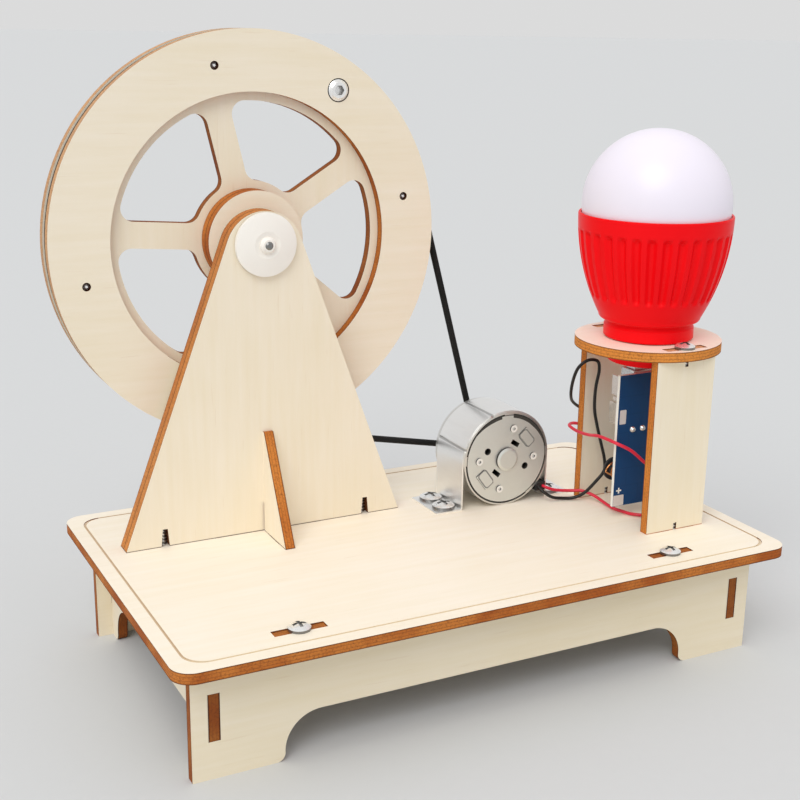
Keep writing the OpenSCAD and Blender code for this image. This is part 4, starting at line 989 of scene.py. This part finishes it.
def screw_threads():
    """Threads on the upright pairs of screws whose shanks show in the slots of the stand and the posts."""
    tree = thread_tree(FINISH["thread_steel"])
    for node in ("stand_screws", "post_screws", "disc_screws"):
        low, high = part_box(node)
        pair = 0 if high.x - low.x > high.y - low.y else 1
        head_radius = (high[1 - pair] - low[1 - pair]) / 2
        length = (high.z - low.z) - UNTHREADED
        first = middle(node)
        first[pair] = low[pair] + head_radius
        first.z = low.z + SHANK_END if node == "disc_screws" else high.z - length - SHANK_END
        step = Vector((0, 0, 0))
        step[pair] = high[pair] - low[pair] - 2 * head_radius
        made = grow(node.replace("screws", "screw_threads"), tree, FINISH["thread_steel"], Count=2,
                    First=first, Step=step, Turns=length / THREAD_PITCH, Radius=SHANK_RADIUS, Length=length,
                    Ridge=THREAD_RIDGE)
        place(made, "frame", "screw_steel")


# The armature's coils; the shares are of the core's radius
COIL_POLES, COIL_TURNS, COIL_LAYERS = 3, 13, 4
COIL_WIRE, COIL_BEND, LAYER_GROWTH = 0.2 * MM, 0.9 * MM, 4.6
COIL_INNER_SHARE, COIL_WIDTH_SHARE = 0.39, 0.6


def coil_layers(n, given):
    """The coil of one pole: layers of wire loops, each wider than the one under it, stacked outwards."""
    round_wire = n.first("GeometryNodeCurvePrimitiveCircle", {"Resolution": 6, "Radius": given["Wire"]})
    pitch = n.times(given["Wire"], 2.0)
    up = n.first("ShaderNodeCombineXYZ", {"Z": pitch})
    layers = n.add("GeometryNodeJoinGeometry")
    for layer in range(COIL_LAYERS):
        grown_by = n.times(given["Wire"], LAYER_GROWTH * layer)
        loop = n.first("GeometryNodeCurvePrimitiveQuadrilateral", {
            "Width": n.plus(given["Width"], grown_by), "Height": n.plus(given["Length"], grown_by)})
        bent = n.first("GeometryNodeFilletCurve", {"Curve": loop, "Count": 4, "Radius": COIL_BEND},
                       mode="POLY")
        wound = n.first("GeometryNodeCurveToMesh", {"Curve": bent, "Profile Curve": round_wire})
        raised = n.plus(given["Inner"], n.times(pitch, layer % 2 / 2))
        start = n.first("ShaderNodeCombineXYZ", {"Z": raised})
        n.feed(layers.inputs["Geometry"], row(n, wound, given["Turns"], start, up))
    return layers.outputs["Geometry"]


def coil_tree(finish):
    """Coils on an armature: the same layers of wire on each pole round the axis."""
    n, given, out = group("Armature coils", {"Geometry": "Geometry"}, "GeometryNodeTree", Poles=3, Turns=14,
                          Axis=(0, 0, 0), Inner=0.005, Width=0.006, Length=0.012, Wire=0.0002)
    step = n.math("DIVIDE", 2 * math.pi, given["Poles"])
    turn = n.times(n.first("GeometryNodeInputIndex"), step)
    outward = n.first("ShaderNodeCombineXYZ", {"Y": turn})
    poles = row(n, coil_layers(n, given), given["Poles"], given["Axis"], (0.0, 0.0, 0.0), Rotation=outward)
    return end_growth(n, out, poles, finish)


def armature_coils():
    low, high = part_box("motor_coils")
    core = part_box("motor_core")
    core_radius = (core[1].x - core[0].x) / 2
    axis = Vector((PIVOT["rotor_spin"].x, (low.y + high.y) / 2, PIVOT["rotor_spin"].z))
    grown_by = (LAYER_GROWTH * (COIL_LAYERS - 1) + 2) * COIL_WIRE
    made = grow("armature_coils", coil_tree(FINISH["enamelled_copper"]), FINISH["enamelled_copper"],
                Poles=COIL_POLES, Turns=COIL_TURNS, Axis=axis, Inner=COIL_INNER_SHARE * core_radius,
                Width=COIL_WIDTH_SHARE * core_radius - grown_by, Length=high.y - low.y - grown_by,
                Wire=COIL_WIRE)
    place(made, "rotor", "copper", "motor_coils")


# The circuit board's solder, pads and sheet metal. Panels are shares of the wing's length and depth
WING_DEPTH, WING_LENGTH, WING_DROP, SHEET = 3.8 * MM, 16.2 * MM, 16.6 * MM, 0.3 * MM
WING_PANELS = ((0.0, 0.45, 1.0), (0.48, 0.09, 0.55), (0.60, 0.40, 0.8))
SOLDER_JOINT = ((1.15, 0.0), (1.1, 0.2), (0.85, 0.55), (0.6, 0.85), (0.42, 1.0), (0.22, 1.06), (0.02, 1.08))
WIRE_JOINT_WIDER, WIRE_JOINT_TALLER = 1.4, 1.3
PIN_OFFSETS, PIN_DROP = (-7.2, -3.2, 0.8, 4.8), 18.6 * MM
SIDE_PAD_AT, SIDE_PAD_HALF = (1.95 * MM, 14.0 * MM), (1.25 * MM, 2.4 * MM)
CORNER_PAD_AT, CORNER_PAD_HALF = (2.15 * MM, 1.95 * MM), (2.05 * MM, 1.85 * MM)
PAD_THICKNESS, PAD_ROUND = 0.05 * MM, 0.3 * MM
MARK_AT, MARK_HALF = (2.1 * MM, 5.4 * MM), (1.0 * MM, 0.26 * MM)
MARK_THICKNESS, MARK_ROUND = 0.02 * MM, 0.05 * MM


def socket_wing():
    """The socket's bent metal side: a sheet along the board's back that stands up at its left edge."""
    low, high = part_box("usb_board")
    left, right = low.x + SHEET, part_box("usb_socket")[0].x
    back, inner = high.y, high.y + SHEET
    bm = bmesh.new()
    for start, height, depth in WING_PANELS:
        out = back + depth * WING_DEPTH
        bend = [(right, back), (left, back), (left - SHEET, inner), (left - SHEET, out), (left, out),
                (left, inner + SHEET), (left + SHEET, inner), (right, inner)]
        foot = high.z - WING_DROP + start * WING_LENGTH
        prism(bm, [Vector((x, y, foot)) for x, y in bend], Vector((0, 0, height * WING_LENGTH)))
    place(finished("socket_wing", bm, FINISH["socket_sheet_painted_reflection"]), "frame", "connector_metal")


def board_solder():
    """Solder joints of the socket's pins on the board's front, and of the two wires on its back."""
    low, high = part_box("usb_board")
    joint = [(r * MM, h * MM) for r, h in SOLDER_JOINT]
    wire_joint = [(WIRE_JOINT_WIDER * r, WIRE_JOINT_TALLER * h) for r, h in joint]
    bm = bmesh.new()
    for offset in PIN_OFFSETS:
        pin = Vector((middle("usb_socket").x + offset * MM, low.y, high.z - PIN_DROP))
        lathe(bm, pin, -Vector(Y_AXIS), joint)
    for route in (RED_ROUTE, BLACK_ROUTE):
        end = deck_point(*route[-1])
        lathe(bm, Vector((end.x, high.y, end.z)), Vector(Y_AXIS), wire_joint)
    place(finished("board_solder", bm, FINISH["solder"]), "frame", "connector_metal")


def board_front(name, finish, slot, plates, thickness, corner, steps=4):
    """A piece of thin, round-cornered plates on the board's front, each given as (x, z, half sizes)."""
    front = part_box("usb_board")[0].y
    bm = bmesh.new()
    for x, z, half in plates:
        outline = rounded_outline(Vector((x, front, z)), *half, corner, steps)
        prism(bm, outline, Vector((0, -thickness, 0)))
    place(finished(name, bm, FINISH[finish]), "frame", slot)


def board_marks():
    """Bare pads at the left edge and in the lower corners of the board's front, and a plain plus."""
    low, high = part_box("usb_board")
    corner_z = low.z + CORNER_PAD_AT[1]
    pads = ((low.x + SIDE_PAD_AT[0], high.z - SIDE_PAD_AT[1], SIDE_PAD_HALF),
            (low.x + CORNER_PAD_AT[0], corner_z, CORNER_PAD_HALF),
            (high.x - CORNER_PAD_AT[0], corner_z, CORNER_PAD_HALF))
    board_front("board_pads", "tinned_pad", "connector_metal", pads, PAD_THICKNESS, PAD_ROUND)
    bars = [(low.x + MARK_AT[0], low.z + MARK_AT[1], half) for half in (MARK_HALF, MARK_HALF[::-1])]
    board_front("plus_mark", "white_plastic", "white_plastic", bars, MARK_THICKNESS, MARK_ROUND, 1)


# The stage: floor, light and camera
FLOOR_GREY, FLOOR_TINT = 0.665, (0.985, 1.0, 1.012)
FLOOR_REACH, FLOOR_MIDDLE, FLOOR_RINGS, FLOOR_SIDES = 60.0, 0.05, 14, 48
BACKDROP = 0.71
SKY_LOW, SKY_HIGH = 0.45, 0.95
SUN, SUN_SPREAD, SUN_COLOUR = 1.25, math.radians(40), (1.0, 1.0, 0.99)
SUN_FROM = Vector((-0.50, -0.47, 0.73))
VIEW_TURN, VIEW_TILT, VIEW_ROLL = map(math.radians, (27.303, 15.893, 0.842))
VIEW_FROM = (-184.44, -341.71, 191.98)
FOCAL_PIXELS, IMAGE_PIXELS, SENSOR = 1298.4, 800, 36.0


def camera():
    data = bpy.data.cameras.new("camera")
    data.sensor_width = SENSOR
    data.lens = FOCAL_PIXELS * SENSOR / IMAGE_PIXELS
    data.clip_start, data.clip_end = 0.01, 100
    made = bpy.data.objects.new("camera", data)
    turn = Euler((math.pi / 2 - VIEW_TILT, 0, -VIEW_TURN)).to_matrix() @ Matrix.Rotation(VIEW_ROLL, 3, "Z")
    made.matrix_world = Matrix.Translation(deck_point(*VIEW_FROM)) @ turn.to_4x4()
    link(made)
    bpy.context.scene.camera = made


def sun():
    data = bpy.data.lights.new("sun", "SUN")
    data.energy, data.angle, data.color = SUN, SUN_SPREAD, SUN_COLOUR
    made = bpy.data.objects.new("sun", data)
    made.rotation_euler = SUN_FROM.to_track_quat("Z", "Y").to_euler()
    link(made)


def floor():
    """The pale paper that the object stands on: a wide flat disc, finer near the object."""
    bm = bmesh.new()
    radii = [FLOOR_REACH * (i / FLOOR_RINGS) ** 3 + FLOOR_MIDDLE for i in range(FLOOR_RINGS + 1)]
    rings = [circle(bm, Vector((0, 0, 0)), Vector(X_AXIS), Vector(Y_AXIS), r, FLOOR_SIDES) for r in radii]
    bm.faces.new(rings[0])
    join_rings(bm, rings[::-1])
    paper = bpy.data.materials.new("floor_paper")
    paper.use_nodes = True
    n = Nodes(paper.node_tree)
    pale = [FLOOR_GREY * share for share in FLOOR_TINT]
    colour = n.mix(n.noise(n.here(), 300.0), pale, [0.98 * share for share in pale])
    surface(n, paper.node_tree.nodes["Principled BSDF"], colour, 0.9, Specular_IOR_Level=0.1)
    made = finished("floor", bm, paper)
    link(made)


def world():
    """A sky that lights from above; the camera and reflections see a plain pale backdrop."""
    made = bpy.data.worlds.new("studio")
    made.use_nodes = True
    n = Nodes(made.node_tree)
    sky = made.node_tree.nodes["Background"]
    dome = n.between(n.along(n.here("Generated"), Z_AXIS), 0.0, 1.0, SKY_LOW, SKY_HIGH)
    ray = n.add("ShaderNodeLightPath").outputs
    seen = n.max(ray["Is Glossy Ray"], ray["Is Transmission Ray"])
    seen = n.max(ray["Is Camera Ray"], seen)
    n.feed(sky.inputs["Strength"], n.between(seen, 0.0, 1.0, dome, BACKDROP))
    sky.inputs["Color"].default_value = (1.0, 1.0, 1.0, 1)
    bpy.context.scene.world = made
    bpy.context.scene.view_settings.view_transform = "Standard"


def stage():
    camera()
    floor()
    world()
    sun()


def main():
    wire("red_wire", RED_ROUTE, FINISH["red_sheath"])
    wire("black_wire", BLACK_ROUTE, FINISH["black_sheath"])
    dress_solids()
    belt()
    inductor_coil()
    armature_coils()
    bulb_cup()
    screw_threads()
    board_solder()
    board_marks()
    socket_wing()
    stage()


main()
